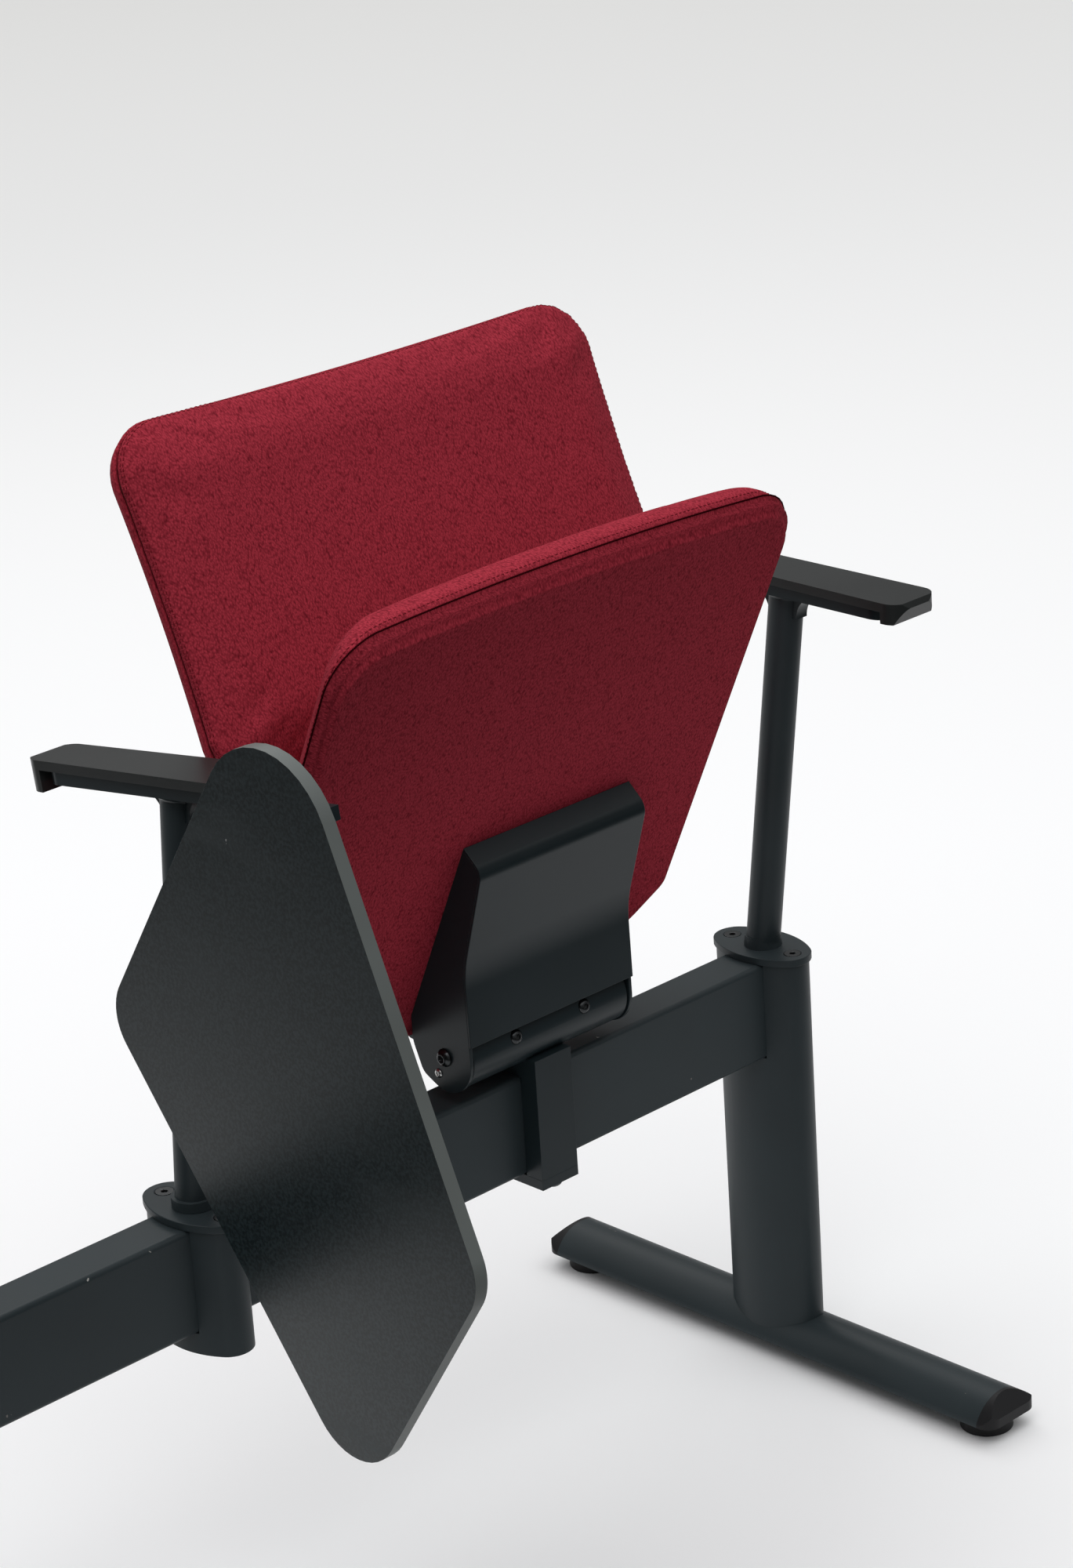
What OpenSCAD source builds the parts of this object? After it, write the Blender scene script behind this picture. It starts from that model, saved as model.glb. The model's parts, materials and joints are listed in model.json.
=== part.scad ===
/* [Beam] */
// Height of the beam
beam_h = 80; // [70:1:90]
// Depth of the beam, front to back
beam_d = 40; // [34:1:42]
// Wall of the beam
beam_wall = 3; // [2:0.5:3.5]
// Outside radius of the beam's long edges
beam_edge_r = 4; // [3.8:0.1:8]
// Height of the beam's top above the floor
beam_top_z = 344; // [310:1:380]
// How far a beam end reaches past the middle of its column
beam_reach = 12; // [4:1:14]

/* [Legs] */
// Distance from the middle housing to each leg
leg_pitch = 582; // [570:1:640]
// Width of the oval column and housing
column_w = 50; // [48:1:56]
// Length of the oval column and housing, front to back
column_l = 87; // [84:1:110]
// Radius of the oval's tight ends
column_end_r = 17; // [15:0.5:19]
// Wall of the column and housing
column_wall = 4; // [3:0.5:5]
// Thickness of a cap plate
cap_t = 6; // [5:0.5:8]
// How far a cap plate stands out past the oval
cap_rim = 2; // [1:0.5:3]
// Depth of the housing below the beam
housing_drop = 16; // [10:0.5:20]
// Distance of a column screw from the middle of the oval
port_y = 32; // [30:0.5:34]
// Radius of the M8 screws
screw_r = 4; // [3.5:0.1:4.2]

/* [Feet] */
// Width of a foot
foot_w = 58; // [54:1:64]
// Height of the foot's domed shell
foot_h = 21; // [20:0.5:26]
// Wall of the foot's shell
foot_wall = 4; // [3:0.5:5]
// Reach of the foot in front of the beam
foot_front = 246; // [230:1:290]
// Reach of the foot behind the beam
foot_rear = 242; // [230:1:290]
// Length of a foot's end cap
foot_cap_l = 14; // [10:1:18]
// Height of a glide
glide_h = 14; // [10:0.5:20]
// Radius of a glide
glide_r = 21; // [18:0.5:25]
// Distance of a glide from the foot's end
glide_inset = 28; // [27:1:40]

/* [Arms] */
// Radius of an arm's post
post_r = 13.5; // [12:0.5:15]
// Wall of the post's tube
post_wall = 2.5; // [2:0.5:4]
// How far a post stands in front of the beam's middle
post_forward = 1; // [0:0.5:6]
// Forward lean of the middle post
mid_post_angle = 5.2; // [3:0.1:8]
// Forward lean of the right post
right_post_angle = 7.9; // [3:0.1:9]
// Rise of the middle arm towards its front
mid_arm_angle = 8; // [4:0.5:10]
// Rise of the right arm towards its front
right_arm_angle = 0; // [0:0.5:6]
// Height of the middle arm's underside at its post
mid_arm_z = 663.5; // [640:0.5:690]
// Height of the right arm's underside at its post
right_arm_z = 650; // [630:1:690]
// Length of the middle arm in front of its post
mid_arm_front = 94; // [86:1:100]
// Length of the right arm in front of its post
right_arm_front = 131; // [110:1:140]
// Length of an arm behind its post
arm_rear = 145; // [120:1:150]
// Width of an arm pad at its front
pad_front_w = 47; // [44:1:54]
// Width of an arm pad at its rear
pad_rear_w = 40; // [38:1:50]
// Height of an arm pad with its bar
pad_h = 17; // [16:0.5:22]
// Width of the bar under an arm pad
arm_bar_w = 36; // [30:1:38]
// Thickness of the bar under an arm pad
arm_bar_t = 11; // [9:0.5:12]

/* [Seat] */
// Room beside the seat, both sides together, to the lines of the posts
seat_room = 134.5; // [130:0.5:170]
// Distance from the pivot to the seat's front edge
seat_front = 395; // [380:1:420]
// How far the seat reaches behind the pivot
seat_rear = 16; // [12:1:18]
// Height of the seat's underside above the pivot when it is lowered
pivot_drop = 41; // [40:0.5:46]
// Height of the wrapped pan below the seam
seat_shell_t = 11.7; // [11:0.1:14]
// Thickness of the seat cushion above the seam
seat_cushion_t = 32.5; // [28:0.5:36]
// Width of the bevel along the front of the seat's underside
seat_bevel = 12.7; // [10:0.1:15]
// Length of the taper at the seat's rear corners
seat_taper_l = 50; // [40:1:80]
// Sideways offset of the seat from the middle of its bay
seat_shift = -18; // [-21:1:-13]
// Sideways offset of the bracket from the middle of the seat
bracket_shift = 42; // [30:1:50]
// Angle by which the seat is tipped up from level
seat_tip_angle = 64.6; // [62:0.1:66]
// Travel of the seat from tipped up to in use
seat_travel = 62; // [60:0.5:62]

/* [Bracket] */
// Width of the bracket over its cheeks
bracket_w = 167; // [150:1:180]
// Thickness of a cheek
cheek_t = 3; // [2.5:0.5:4]
// Thickness of the bracket's bent cover
cover_t = 2; // [1.5:0.5:2]
// Distance from the pivot to the bracket's nose
bracket_l = 171; // [160:1:190]
// Height of the pivot above the beam's top
pivot_above_beam = 37.2; // [37:0.1:40]
// How far the pivot stands in front of the beam's middle
pivot_forward = 12; // [11:0.5:13]
// Radius of the pivot's drum
drum_r = 26; // [25:0.5:26]
// Wall of the drum
drum_wall = 4; // [3:0.5:5]
// Radius of the pivot shaft
shaft_r = 8; // [7:0.5:9]

/* [Clamp] */
// Width of the clamp along the beam
clamp_w = 37; // [34:1:44]
// Wall of the clamp in front of and behind the beam
clamp_wall = 17; // [15:0.5:18]
// Thickness of the clamp over the beam
saddle_t = 6; // [5:0.5:8]
// Height of the cradle under the drum, above the saddle
cradle_h = 11; // [10:0.5:12]
// Thickness of the plate under the beam
clamp_plate_t = 8; // [6:0.5:10]

/* [Back] */
// Room beside the backrest, both sides together, to the lines of the posts
back_room = 134; // [110:1:150]
// Height of the backrest along its slope
back_h = 265; // [250:1:290]
// Lean of the backrest
back_angle = 22.3; // [20:0.1:24]
// Height of the backrest's lower front edge above the pivot
back_rise = 262.6; // [245:0.1:290]
// Distance behind the beam's middle of that edge
back_top_y = 66; // [60:1:100]
// Thickness of the back cushion
back_cushion_t = 26; // [22:0.5:30]
// Thickness of the wrapped shell behind the cushion
back_shell_t = 12; // [11:0.5:14]
// Radius of the backrest's top corners
back_top_r = 42; // [36:1:70]
// Radius of the backrest's lower corners
back_low_r = 38; // [30:1:50]
// Width of the flat bar that carries the back
back_bar_w = 60; // [50:1:80]
// Thickness of that bar
back_bar_t = 8; // [6:0.5:10]
// Distance behind the beam's middle of the bar's lower bend
back_bar_y = 106; // [104:1:120]

/* [Writing tablet] */
// Thickness of the tablet
tablet_t = 10.5; // [8:0.5:13]
// Length over which the tablet's outline is laid out
tablet_l = 488; // [470:1:500]
// Distance of the tablet's inner face from the middle of its arm
tablet_x = 48.5; // [46:0.5:54]
// Radius of the tablet's pin
pin_r = 5; // [4:0.5:6]

/* [Hidden] */
$fn = 48;

// Clearances and the one overrun of every cut
overrun = 1;
running_fit = 0.05;
screw_fit = 0.25;
slide_gap = 0.3;

// Colours
black = [0.16, 0.17, 0.18];
dark = [0.08, 0.08, 0.09];
steel = [0.65, 0.66, 0.68];
wine = [0.50, 0.09, 0.14];
ply = [0.72, 0.56, 0.36];
board = [0.14, 0.17, 0.19];

// Screws and their heads
head_r = 7;
head_h = 4.4;
socket_share = 0.36;
socket_depth_share = 0.55;
small_screw_r = 2.5;
small_head_r = 4.5;
small_head_h = 2.6;
low_head_r = 3.6;
low_head_h = 1.8;
head_top_share = 0.62;

// Beam and legs
beam_bottom_z = beam_top_z - beam_h;
beam_gap = 0.2;
port_wall = 2.2;
port_depth = 40;
notch_half = beam_d / 2 + beam_gap;
bay_x = leg_pitch / 2;
base_t_share = 0.7;
housing_base_t = housing_drop * base_t_share;
base_head_r = 6.3;

// Feet
foot_top_z = glide_h + foot_h;
foot_lip_h = 3;
foot_dome_h = foot_h - foot_lip_h;
foot_dome_r = (foot_w * foot_w / 4 + foot_dome_h * foot_dome_h) / (2 * foot_dome_h);
foot_corner_r = 12;
foot_cap_drop = 13;
foot_cap_flat = 3;
boss_r = 9;
counterbore_h = 9;
glide_stem_r = 5;
glide_stem_h = 12;
glide_taper = 2;
glide_places = [-foot_front + glide_inset, foot_rear - glide_inset];

// Arms
arm_bore = 5;
fillet_r = 3.4;
web_r = 20;
web_w = 12;
pad_corner_r = 15;
pad_nose = 7;
pad_nose_share = 0.75;
pad_lip_l = 18;
pad_lip_h = 6;
pad_lip_r = 6;
pad_side_gap = 10;
bar_gap = 1;
arm_screw_reach = 36;
arm_screw_l = 10;
collar_r = 16;
collar_h = 8;
flare_r = 15;
flare_h = 9;
cap_top_z = beam_top_z + cap_t;

// Seat, bracket and pivot
seat_w = leg_pitch - seat_room;
seat_x = bay_x + seat_shift;
bracket_x = seat_x + bracket_shift;
pivot_y = -pivot_forward;
pivot_z = beam_top_z + pivot_above_beam;
base_plate_t = 3;
cheek_margin = 1.2;
cheek_r = drum_r + cheek_margin;
cover_r = cheek_r + cover_t;
cheek_in = bracket_w / 2 - cheek_t;
flange_t = 1.5;
flange_r = 13;
drum_half = cheek_in - slide_gap - flange_t;
bush_l = 14;
spring_r = 12;
spring_wire = 3;
stop_r = 16.7;
stop_pin_r = 2;
stop_pin_l = 3;
stop_start = 3.4;
stop_slot_margin = 8.5;
stop_slot_depth = 4.5;
drum_screw_x = 35;
drum_screw_angle = 166;
drum_screw_l = 7;
drum_head_r = 5.5;
drum_head_h = 3.2;
drum_spot_r = 25;
nose_shares = [[1, 1, 0.08], [0.96, 0.46, 0.3], [0.46, 0.16, 2.2]];
heel_shares = [[-0.157, 0.36, 0.3], [-0.06, 0.8, 0.5], [0.045, 1, 0.08]];
cover_edge_share = 0.082;
inner_bend_share = 0.9;
plate_start_share = 0.1;
plate_end_share = 0.93;
seat_screw_reach_share = 0.62;
seat_screw_row_shares = [0.2, 0.79];
seat_screw_l = 11;

// Soft shapes: a corner holds x, y and a radius, a profile holds outsets and heights
disc_steps = 12;
arc_steps = 4;
nose_steps = 6;
sweep_steps = 10;
round_steps = 16;
bend_steps = 8;
edge_steps = 3;
wrap_t = 3;
seat_rear_r = 26;
seat_taper_r = 60;
seat_side_r = 14;
seat_front_r = 36;
seat_side_bevel_share = 0.5;
seat_front_bow = -7;
seat_side_draw = 0;
seat_side_bevel = seat_bevel * seat_side_bevel_share;
seat_flat_half = (seat_w - seat_side_bevel) / 2 - seat_side_bevel;
seat_rear_half_share = 0.70;
seat_taper_half_share = 0.88;
seat_profile_shares = [[0, 0], [0.04, 0.06], [0.055, 0.2], [0.05, 0.42], [0, 0.62],
  [-0.16, 0.79], [-0.46, 0.9]];
seat_draw_share = 0.115;
crown_shares = [[0.84, 0.95], [0.6, 0.985], [0.3, 1]];
back_shoulder = 40;
back_side_draw = 2.5;
back_profile_shares = [[-0.09, 0], [-0.02, 0.07], [0, 0.22], [-0.03, 0.38], [-0.08, 0.45],
  [-0.36, 0.66], [-0.68, 0.83], [-1, 0.94]];

// Clamp and back support
back_w = leg_pitch - back_room;
back_top_z = pivot_z + back_rise + back_h * cos(back_angle);
clamp_x = bracket_x;
clamp_half_d = beam_d / 2 + clamp_wall;
clamp_bolt_l = 36;
back_bend_r = 20;
back_plate_t = 3;
back_plate_w = 150;
back_plate_h = 150;
back_plate_up = 20;
back_bar_start = 14;
back_screw_inset = 14;
back_bar_bolt_y = 28;
back_t = back_cushion_t + back_shell_t;

// Tablet
hinge_x = -22;
hinge_y = -179.3;
hinge_z = 680;
tablet_y = -150;
tablet_z = 668;
hinge_axis = [-0.671, 0.313, 0.671];
block_r = 12;
block_half = 14;
tongue_w = 22;
tongue_t = 10;
tongue_l = 100;
block_screw_shares = [0.06, 0.2];
tongue_front = 150;
hinge_bush_r = 7.5;
bush_share = 0.9;
pin_head_r = 8;
carrier_r = 12;
carrier_plate_t = 4;
carrier_plate_r = 26;
carrier_off_share = 0.4;
carrier_screw_share = 0.75;
carrier_screw_angles = [165, 225, 285];
tablet_screw_l = 7;
tablet_disc_shares = [[-0.08, 0.035, 0.123], [-0.34, -0.492, 0.078], [-0.154, -0.756, 0.086],
  [0.205, -0.303, 0.074]];

// The part stands on z = 0 with its box centred in x and y
box_front = tablet_y + (tablet_disc_shares[1][0] - tablet_disc_shares[1][2]) * tablet_l;
box_shift = -(foot_rear + box_front) / 2;

// Plane geometry
function unit2(v) = v / norm(v);
function place2(c) = [c[0], c[1]];

// Points of the arc that rounds the corner c between the corners p and q
function corner_arc(p, c, q, steps) =
  let (a = unit2(place2(p) - place2(c)), b = unit2(place2(q) - place2(c)),
       half = acos(a * b) / 2, reach = c[2] / tan(half),
       middle = place2(c) + unit2(a + b) * c[2] / sin(half),
       first = place2(c) + a * reach - middle, last = place2(c) + b * reach - middle,
       a0 = atan2(first[1], first[0]), a1 = atan2(last[1], last[0]),
       turn = (a1 - a0 + 540) % 360 - 180)
  [for (i = [0:steps]) middle + c[2] * [cos(a0 + turn * i / steps), sin(a0 + turn * i / steps)]];

// Corners of a closed outline moved inwards by d, with their radii to match
function inset(corners, d) =
  let (n = len(corners))
  [for (i = [0:n - 1])
    let (p = corners[(i + n - 1) % n], c = corners[i], q = corners[(i + 1) % n],
         e = unit2(place2(c) - place2(p)), f = unit2(place2(q) - place2(c)),
         m = [-e[1], e[0]], k = [-f[1], f[0]], move = (m + k) * d / (1 + m * k))
    [c[0] + move[0], c[1] + move[1], max(c[2] - d, c[2] / 5)]];

// One ring of a soft shape: rounded corners and bowed edges, counter-clockwise
function ring(corners, bows) =
  let (n = len(corners),
       arcs = [for (i = [0:n - 1])
         corner_arc(corners[(i + n - 1) % n], corners[i], corners[(i + 1) % n], arc_steps)])
  [for (i = [0:n - 1])
    let (start = arcs[i][arc_steps], end = arcs[(i + 1) % n][0], along = unit2(end - start),
         inward = [-along[1], along[0]])
    each concat(arcs[i],
      [for (j = [1:edge_steps]) let (u = j / (edge_steps + 1))
        start + (end - start) * u + inward * 4 * u * (1 - u) * bows[i]])];

function lifted(points, z) = [for (p = points) [p[0], p[1], z]];
function drawn_to(points, centre, share, z) =
  [for (p = points) [centre[0] + (p[0] - centre[0]) * share, centre[1] + (p[1] - centre[1]) * share, z]];

function narrowed(points, share, z) = [for (p = points) [p[0] * share, p[1], z]];

// A closed solid through a stack of rings, with a point in the middle of each end
module ring_solid(rings, low, high) {
  n = len(rings[0]);
  m = len(rings);
  points = concat([for (r = rings) each r], [low, high]);
  sides = [for (k = [0:m - 2], i = [0:n - 1]) let (j = (i + 1) % n)
    each [[k * n + i, (k + 1) * n + i, (k + 1) * n + j], [k * n + i, (k + 1) * n + j, k * n + j]]];
  floor_faces = [for (i = [0:n - 1]) [m * n, i, (i + 1) % n]];
  roof_faces = [for (i = [0:n - 1]) [m * n + 1, (m - 1) * n + (i + 1) % n, (m - 1) * n + i]];
  polyhedron(points, concat(sides, floor_faces, roof_faces));
}

// A cushion: flat base on its seam, full sides drawn in with their height, round shoulders and a crown
module cushion(corners, bows, centre, outset, height, profile, crown, draw) {
  walls = [for (s = profile)
    narrowed(ring(inset(corners, -s[0] * outset), bows), 1 - draw * s[1], s[1] * height)];
  shoulder = walls[len(walls) - 1];
  tops = [for (s = crown) drawn_to(shoulder, centre, s[0], s[1] * height)];
  ring_solid(concat(walls, tops), [centre[0], centre[1], 0], [centre[0], centre[1], height]);
}

// A wrapped shell: a bevelled tray whose mouth meets the cushion's seam
module tray(corners, rim, bows, centre, height, wall) {
  outer = [lifted(ring(corners, bows), 0), lifted(ring(rim, bows), height)];
  inner = [for (z = [height, wall]) lifted(ring(inset(corners, wall), bows), z)];
  ring_solid(concat(outer, inner), [centre[0], centre[1], 0], [centre[0], centre[1], wall]);
}

// A flat shape whose outline is the tight band round a row of discs [x, y, radius], counter-clockwise
module disc_hull(discs) {
  n = len(discs);
  sides = [for (i = [0:n - 1])
    let (a = discs[i], b = discs[(i + 1) % n], d = place2(b) - place2(a), l = norm(d),
         s = (a[2] - b[2]) / l, c = sqrt(1 - s * s))
    atan2(d[1] * s - d[0] * c, d[0] * s + d[1] * c)];
  polygon([for (i = [0:n - 1])
    let (a0 = sides[(i + n - 1) % n], turn = (sides[i] - a0 + 720) % 360)
    for (j = [0:disc_steps]) let (a = a0 + turn * j / disc_steps)
      place2(discs[i]) + discs[i][2] * [cos(a), sin(a)]]);
}

module rounded_box2(w, h, r) {
  square([w, h - 2 * r], center = true);
  square([w - 2 * r, h], center = true);
  for (x = [-1, 1], y = [-1, 1]) translate([x * (w / 2 - r), y * (h / 2 - r)]) circle(r);
}

// The leg's oval: two shallow arcs joined by two tight ones
module oval2(w, l, r) {
  half_w = w / 2;
  d = l / 2 - r;
  side_r = (half_w * half_w + d * d - r * r) / (2 * (half_w - r));
  tangent_y = d * side_r / (side_r - r);
  intersection() {
    translate([half_w - side_r, 0]) circle(side_r);
    translate([side_r - half_w, 0]) circle(side_r);
    square([w + 2 * overrun, 2 * tangent_y], center = true);
  }
  for (y = [-1, 1]) translate([0, y * d]) circle(r);
}

// A side view in y and z, thickened along x from x0 by w
module along_x(x0, w) translate([x0, 0, 0]) rotate([90, 0, 90]) linear_extrude(w) children();
// A front view in x and z, thickened along y from y0 by l
module along_y(y0, l) translate([0, y0 + l, 0]) rotate([90, 0, 0]) linear_extrude(l) children();

// Screws point down from the origin, with the head above it
module button_screw(r, l, hr, hh) {
  difference() {
    union() {
      translate([0, 0, -l]) cylinder(r = r, h = l);
      cylinder(r1 = hr, r2 = hr * head_top_share, h = hh);
    }
    translate([0, 0, hh * (1 - socket_depth_share)])
      cylinder(r = hr * socket_share, h = hh, $fn = 6);
  }
}

module flush_screw(r, l, hr, hh) {
  difference() {
    union() {
      translate([0, 0, -l]) cylinder(r = r, h = l - hh);
      translate([0, 0, -hh]) cylinder(r1 = r, r2 = hr, h = hh);
    }
    translate([0, 0, -hh * socket_depth_share]) cylinder(r = hr * socket_share, h = hh, $fn = 6);
  }
}

// Frames of the moving and leaning groups
module on_part() translate([0, box_shift, 0]) children();
module on_pivot() on_part() translate([bracket_x, pivot_y, pivot_z]) children();
module on_seat() on_pivot() rotate([-seat_tip_angle, 0, 0]) children();
module on_back() on_part() translate([seat_x, back_top_y, back_top_z])
  rotate([-back_angle, 0, 0]) children();
module about_x() rotate([90, 0, 90]) children();

// Beam
module beam() {
  l = 2 * (leg_pitch + beam_reach);
  color(black) on_part() translate([-l / 2, 0, beam_top_z - beam_h / 2])
    rotate([90, 0, 90]) linear_extrude(l) difference() {
      rounded_box2(beam_d, beam_h, beam_edge_r);
      rounded_box2(beam_d - 2 * beam_wall, beam_h - 2 * beam_wall, beam_edge_r - beam_wall);
    }
}

// An oval extrusion with two screw ports, from z0 to the beam's top
module oval_tube(z0) {
  translate([0, 0, z0]) linear_extrude(beam_top_z - z0) difference() {
    union() {
      difference() {
        oval2(column_w, column_l, column_end_r);
        oval2(column_w - 2 * column_wall, column_l - 2 * column_wall, column_end_r - column_wall);
      }
      intersection() {
        oval2(column_w - column_wall, column_l - column_wall, column_end_r - column_wall / 2);
        for (y = [-1, 1]) translate([0, y * (port_y + column_end_r / 2)])
          square([2 * (screw_r + port_wall), 2 * (screw_r + port_wall) + column_end_r], center = true);
      }
    }
    for (y = [-1, 1]) translate([0, y * port_y]) circle(screw_r + running_fit);
  }
}

module foot_section() intersection() {
  translate([0, foot_top_z - foot_dome_r]) circle(foot_dome_r);
  translate([-foot_w / 2, glide_h]) square([foot_w, foot_h]);
}

module column(side) {
  color(black) on_part() translate([side * leg_pitch, 0, 0]) difference() {
    oval_tube(glide_h);
    along_y(-column_l, 2 * column_l) {
      translate([0, foot_top_z - foot_dome_r]) circle(foot_dome_r + running_fit);
      translate([-foot_w / 2, 0]) square([foot_w, glide_h + foot_lip_h]);
    }
    translate([side > 0 ? -column_w : 0, -notch_half, beam_bottom_z])
      cube([column_w, 2 * notch_half, beam_h + overrun]);
  }
}

module mid_housing() {
  z0 = beam_bottom_z - housing_drop;
  color(black) on_part() difference() {
    oval_tube(z0);
    translate([-column_w, -notch_half, beam_bottom_z])
      cube([2 * column_w, 2 * notch_half, beam_h + overrun]);
    translate([0, 0, z0 - overrun]) linear_extrude(housing_base_t + overrun)
      oval2(column_w - 2 * column_wall + 2 * running_fit, column_l - 2 * column_wall + 2 * running_fit,
        column_end_r - column_wall + running_fit);
  }
}

module housing_base() {
  z0 = beam_bottom_z - housing_drop;
  color(black) on_part() difference() {
    translate([0, 0, z0]) linear_extrude(housing_base_t)
      oval2(column_w - 2 * column_wall, column_l - 2 * column_wall, column_end_r - column_wall);
    for (y = [-1, 1]) translate([0, y * port_y, z0 - overrun]) {
      cylinder(r = screw_r + screw_fit, h = housing_drop + 2 * overrun);
      cylinder(r = base_head_r + screw_fit, h = overrun + housing_base_t / 2);
    }
  }
}

module base_screws() {
  z0 = beam_bottom_z - housing_drop;
  color(steel) on_part() for (y = [-1, 1])
    translate([0, y * port_y, z0 + housing_base_t / 2]) rotate([180, 0, 0])
      button_screw(screw_r, port_depth / 2, base_head_r, housing_base_t / 2);
}

module cap_plate(x) {
  color(black) on_part() translate([x, 0, beam_top_z]) difference() {
    linear_extrude(cap_t) oval2(column_w + 2 * cap_rim, column_l + 2 * cap_rim, column_end_r + cap_rim);
    for (y = [-1, 1]) translate([0, y * port_y, 0]) {
      translate([0, 0, -overrun]) cylinder(r = screw_r + screw_fit, h = cap_t + 2 * overrun);
      translate([0, 0, cap_t - head_h])
        cylinder(r1 = screw_r + screw_fit, r2 = head_r + screw_fit, h = head_h);
    }
  }
}

module cap_screws() color(steel) on_part() for (x = [-leg_pitch, 0, leg_pitch], y = [-1, 1])
  translate([x, y * port_y, cap_top_z]) flush_screw(screw_r, port_depth / 2 + cap_t, head_r, head_h);

module foot(side) {
  l = foot_front + foot_rear - 2 * foot_cap_l;
  color(black) on_part() translate([side * leg_pitch, 0, 0]) difference() {
    union() {
      along_y(-foot_front + foot_cap_l, l) difference() {
        foot_section();
        translate([0, foot_top_z - foot_dome_r]) intersection() {
          circle(foot_dome_r - foot_wall);
          translate([foot_wall - foot_w / 2, -foot_dome_r])
            square([foot_w - 2 * foot_wall, 2 * foot_dome_r]);
        }
        translate([foot_wall - foot_w / 2, glide_h - overrun])
          square([foot_w - 2 * foot_wall, foot_lip_h + overrun]);
      }
      intersection() {
        along_y(-foot_front + foot_cap_l, l) foot_section();
        for (y = concat([-port_y, port_y], glide_places)) translate([0, y, glide_h])
          cylinder(r = boss_r, h = foot_h);
      }
    }
    for (y = [-port_y, port_y]) translate([0, y, glide_h - overrun]) {
      cylinder(r = screw_r + screw_fit, h = foot_h + 2 * overrun);
      cylinder(r = head_r + screw_fit, h = overrun + counterbore_h);
    }
    for (y = glide_places) translate([0, y, glide_h - overrun])
      cylinder(r = glide_stem_r + running_fit, h = glide_stem_h + overrun + running_fit);
  }
}

module foot_end_caps() color(dark) on_part() for (side = [-1, 1]) translate([side * leg_pitch, 0, 0]) {
  translate([0, -foot_front, 0]) foot_end_cap();
  translate([0, foot_rear, 0]) mirror([0, 1, 0]) foot_end_cap();
}

// An end cap with its outer face at y = 0, reaching towards the column
module foot_end_cap() intersection() {
  along_y(0, foot_cap_l) foot_section();
  translate([0, 0, glide_h]) linear_extrude(foot_h) disc_hull([
    for (c = [[1, 0], [1, 1], [-1, 1], [-1, 0]])
      [c[0] * (foot_w / 2 - foot_corner_r), foot_corner_r + c[1] * foot_cap_l, foot_corner_r]]);
  along_x(-foot_w / 2, foot_w) polygon([
    [0, glide_h], [foot_cap_l, glide_h], [foot_cap_l, foot_top_z],
    [foot_cap_l - foot_cap_flat, foot_top_z], [0, foot_top_z - foot_cap_drop]]);
}

module foot_screws() color(steel) on_part() for (x = [-leg_pitch, leg_pitch], y = [-port_y, port_y])
  translate([x, y, glide_h + counterbore_h]) rotate([180, 0, 0])
    button_screw(screw_r, port_depth, head_r, head_h);

module glides() color(dark) on_part() for (x = [-leg_pitch, leg_pitch], y = glide_places)
  translate([x, y, 0]) {
    cylinder(r1 = glide_r, r2 = glide_r - glide_taper, h = glide_h);
    cylinder(r = glide_stem_r, h = glide_h + glide_stem_h);
  }

// A post leans forward from its cap plate into the bar of its arm
module post_frame(x, lean) on_part() translate([x, -post_forward, cap_top_z])
  rotate([lean, 0, 0]) children();

module post(x, lean, under_z) {
  l = (under_z - cap_top_z) / cos(lean) + arm_bore;
  color(black) difference() {
    post_frame(x, lean) difference() {
      translate([0, 0, -2 * post_r]) cylinder(r = post_r, h = l + 2 * post_r);
      translate([0, 0, -3 * post_r]) cylinder(r = post_r - post_wall, h = l + 3 * post_r - post_wall);
    }
    on_part() translate([x - 2 * post_r, -3 * post_r, cap_top_z - 4 * post_r])
      cube([4 * post_r, 6 * post_r, 4 * post_r]);
  }
}

module mid_post() {
  post(0, mid_post_angle, mid_arm_z);
  color(black) difference() {
    on_part() translate([0, -post_forward, cap_top_z]) cylinder(r = collar_r, h = collar_h);
    post_frame(0, mid_post_angle) translate([0, 0, -post_r])
      cylinder(r = post_r - post_wall / 2, h = collar_h + 2 * post_r);
  }
}

module right_post() {
  post(leg_pitch, right_post_angle, right_arm_z);
  color(black) difference() {
    on_part() translate([leg_pitch, -post_forward, cap_top_z])
      cylinder(r1 = flare_r, r2 = post_r + post_wall / 4, h = flare_h);
    post_frame(leg_pitch, right_post_angle) translate([0, 0, -post_r])
      cylinder(r = post_r - post_wall / 2, h = flare_h + 2 * post_r);
  }
}

// An arm's frame has its origin on the post's line at the bar's underside, and -y is forward
module arm_frame(x, lean, pitch, under_z)
  on_part() translate([x, -post_forward - (under_z - cap_top_z) * tan(lean), under_z])
    rotate([-pitch, 0, 0]) children();

module arm_plan(front, rear, front_w, rear_w) disc_hull([
  [pad_corner_r - front_w / 2, pad_corner_r - front, pad_corner_r],
  [front_w / 2 - pad_corner_r, pad_corner_r - front, pad_corner_r],
  [rear_w / 2 - pad_corner_r, rear - pad_corner_r, pad_corner_r],
  [pad_corner_r - rear_w / 2, rear - pad_corner_r, pad_corner_r]]);

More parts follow.
